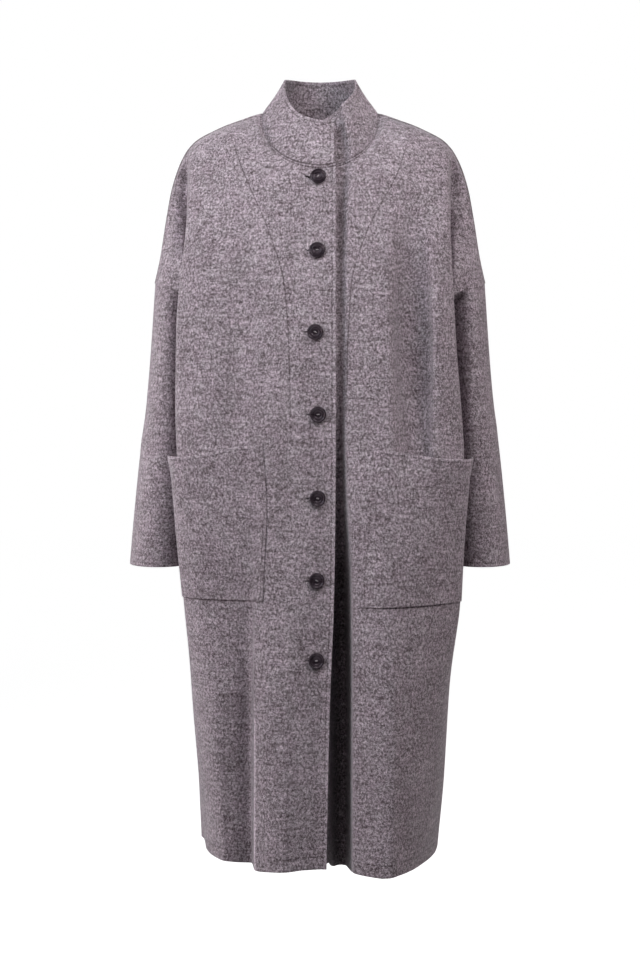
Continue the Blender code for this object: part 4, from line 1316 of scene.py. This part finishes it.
# The side fronts' shoulder seam is a wide dark band: a seam line widened into painted shade
SIDE_SEAMS = (START_SEAM, ("from_top", SHOULDER_SHADE_HALF, SEAM_DARK))
left_side_wool = wool("wool_left_side", (NECK_LINE, HEM_LINE), SIDE_SEAMS, faded=True)
# The right side front also has a painted highlight along the crest of the skirt's sharp fold
right_side_wool = wool("wool_right_side", (NECK_LINE, HEM_LINE), SIDE_SEAMS,
                       (("from_fold", 0.0, FOLD_EDGE_HALF, FOLD_PAINTED_HIGHLIGHT),), faded=True)
back_wool = wool("wool_back", (HEM_LINE,), (START_SEAM, TOP_SEAM))
sleeve_wool = wool("wool_sleeve", (("from_foot", CUFF_STITCH, "from_start", PLAIN_DARK),), (TOP_SEAM,),
                   (FOOT_RUB,))
collar_wool = wool("wool_collar", (("from_foot", EDGE_STITCH, "from_start", EDGE_DARK),
                                   ("from_end", EDGE_STITCH, "from_top", EDGE_DARK)), (NECK_SEAM,),
                   (FOOT_RUB, ("from_end", RUB_AT, RUB_HALF, RUB_PALE)))
pocket_wool = wool("wool_pocket", (("from_start", POCKET_STITCH, "from_top", PLAIN_DARK),
                                   ("from_top", POCKET_STITCH, "from_start", PLAIN_DARK)), (),
                   (("from_top", RUB_AT, RUB_HALF, RUB_PALE),))

slits = slit_levels()
over = front("right_centre_front", "right", runs(-22, 0, 30, 50, step=1.5), with_rows(LEVELS, slits))
cut_slits(over, slits)
under = front("left_centre_front", "left", runs(-28, 0, 30, 50, step=1.5))
SIDE_AT = np.concatenate([runs(50, 92, step=2.6), runs(92, 112, step=1.0)[1:],
                          runs(112, 200, 225, 300, step=3.0)[1:]])
right_side = front("right_side_front", "right", SIDE_AT)
left_side = front("left_side_front", "left", SIDE_AT)
BACK_ACROSS = runs(0, 30, 200, 225, 300, step=3.3)
right_back = back("right_back", "right", BACK_ACROSS)
left_back = back("left_back", "left", BACK_ACROSS)
right_sleeve = sleeve("right_sleeve", "right")
left_sleeve = sleeve("left_sleeve", "left")
neck_band = collar("standing_collar")
right_pocket = pocket("right_pocket", "right")
left_pocket = pocket("left_pocket", "left")

CLOTH = (
    (over, front_wool, "front_right_centre", 135, 1060, 0.54),
    (under, front_wool, "front_left_centre", 270, 1060, 0.66),
    (right_side, right_side_wool, "front_right_side", 340, 1080, 0.8),
    (left_side, left_side_wool, "front_left_side", 340, 1080, 0.8),
    (right_back, back_wool, "back_right", 380, 1090, 0.8),
    (left_back, back_wool, "back_left", 380, 1090, 0.8),
    (right_sleeve, sleeve_wool, "sleeve_right", 390, 420, 0.8),
    (left_sleeve, sleeve_wool, "sleeve_left", 390, 420, 0.8),
    (neck_band, collar_wool, "collar", 520, 78, 0.9),
    (right_pocket, pocket_wool, "pocket_right", 180, 212, 0.95),
    (left_pocket, pocket_wool, "pocket_left", 195, 220, 0.95),
)
for piece, cloth_finish, node, width, length, share in CLOTH:
    walled(piece, POCKET_WALL if cloth_finish is pocket_wool else WALL)
    dress(piece, cloth_finish, [node])
    cut_to(width, length, share)

horn_finish = horn("dark_horn")
thread_finish = thread("button_thread", THREAD_GREY)
for number, ((out, height), slant) in enumerate(zip(BUTTONS, BUTTON_SLANTS), 1):
    place, level, lean, turn = front_point(out, height)
    disc = settled(button_disc(number, math.radians(slant)), place, lean, turn)
    dress(disc, horn_finish, ["button_%d" % number])
    reach = table(LAP_DEPTH, level)[0] * math.cos(lean) - THREAD_CLEAR
    strands = settled(button_thread(number, math.radians(slant), reach), place, lean, turn)
    strands.data.materials.clear()
    strands.data.materials.append(thread_finish)
    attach(strands, "root")


def placed(name, data, place, turn):
    """An object of its own for a camera or a light, at its place and turned."""
    made = bpy.data.objects.new(name, data)
    bpy.context.scene.collection.objects.link(made)
    made.location = place
    made.rotation_euler = turn
    return made


def camera():
    """The camera at the photo's angle."""
    data = bpy.data.cameras.new("camera")
    data.lens = 85.0
    data.sensor_width = 36.0
    data.clip_end = 60.0
    bpy.context.scene.camera = placed("camera", data, CAMERA_PLACE, (math.radians(90 - CAMERA_DIP), 0.0, 0.0))


def area_light(name, place, power, tint):
    """A round soft box that faces the coat."""
    data = bpy.data.lights.new(name, "AREA")
    data.shape = "DISK"
    data.size = LIGHT_SIZE
    data.energy = power
    data.color = tint
    way = np.array(LIGHT_AIM) - np.array(place)
    flat = math.hypot(way[0], way[1])
    placed(name, data, place, (math.atan2(flat, -way[2]), 0.0, math.atan2(-way[0], way[1])))


def studio():
    """A pale floor, a white world seen by the camera, and the soft boxes."""
    bpy.ops.mesh.primitive_plane_add(size=FLOOR_SIZE, location=(0.0, FLOOR_BACK, FLOOR_LEVEL))
    bpy.ops.object.transform_apply(location=True)
    floor = bpy.context.active_object
    floor.name = "studio_floor"
    paint = Finish("pale_floor")
    place = paint.place()
    grain = paint.noise(place, 40.0, detail=3.0)
    colour = paint.blend((grain * 0.5 + 0.5).clamped(), FLOOR_DARK, FLOOR_PALE)
    paint.feed(paint.shader.inputs["Base Color"], colour)
    paint.shader.inputs["Roughness"].default_value = 0.9
    flat = paint.node("ShaderNodeVectorMath", output="Value", settings={"operation": "LENGTH"},
                      Vector=paint.scaled(place, (1.0, 1.0, 0.0)))
    reach = (flat / FLOOR_HALFWAY) ** FLOOR_TURNS
    glow = paint.blend(reach / (reach + 1.0), FLOOR_NEAR, FLOOR_FAR)
    paint.feed(paint.shader.inputs["Emission Color"], glow)
    paint.shader.inputs["Emission Strength"].default_value = 1.0
    floor.data.materials.append(paint.material)
    floor.visible_diffuse = False
    world = bpy.data.worlds.new("studio")
    bpy.context.scene.world = world
    world.use_nodes = True
    sky = world.node_tree.nodes["Background"]
    sky.inputs["Color"].default_value = (1.0, 1.0, 1.0, 1.0)
    sky.inputs["Strength"].default_value = SKY_LIGHT
    seen = world.node_tree.nodes.new("ShaderNodeBackground")
    seen.inputs["Color"].default_value = (1.0, 1.0, 1.0, 1.0)
    seen.inputs["Strength"].default_value = 1.0
    path = world.node_tree.nodes.new("ShaderNodeLightPath")
    mix = world.node_tree.nodes.new("ShaderNodeMixShader")
    links = world.node_tree.links
    links.new(path.outputs["Is Camera Ray"], mix.inputs[0])
    links.new(sky.outputs[0], mix.inputs[1])
    links.new(seen.outputs[0], mix.inputs[2])
    links.new(mix.outputs[0], world.node_tree.nodes["World Output"].inputs["Surface"])
    for name, azimuth, elevation, power, tint in LIGHTS:
        a, e = math.radians(azimuth), math.radians(elevation)
        way = (math.sin(a) * math.cos(e), -math.cos(a) * math.cos(e), math.sin(e))
        place = [at + LIGHT_REACH * step for at, step in zip(LIGHT_AIM, way)]
        area_light(name, place, power, tint)
    bpy.context.scene.view_settings.view_transform = "Standard"


camera()
studio()
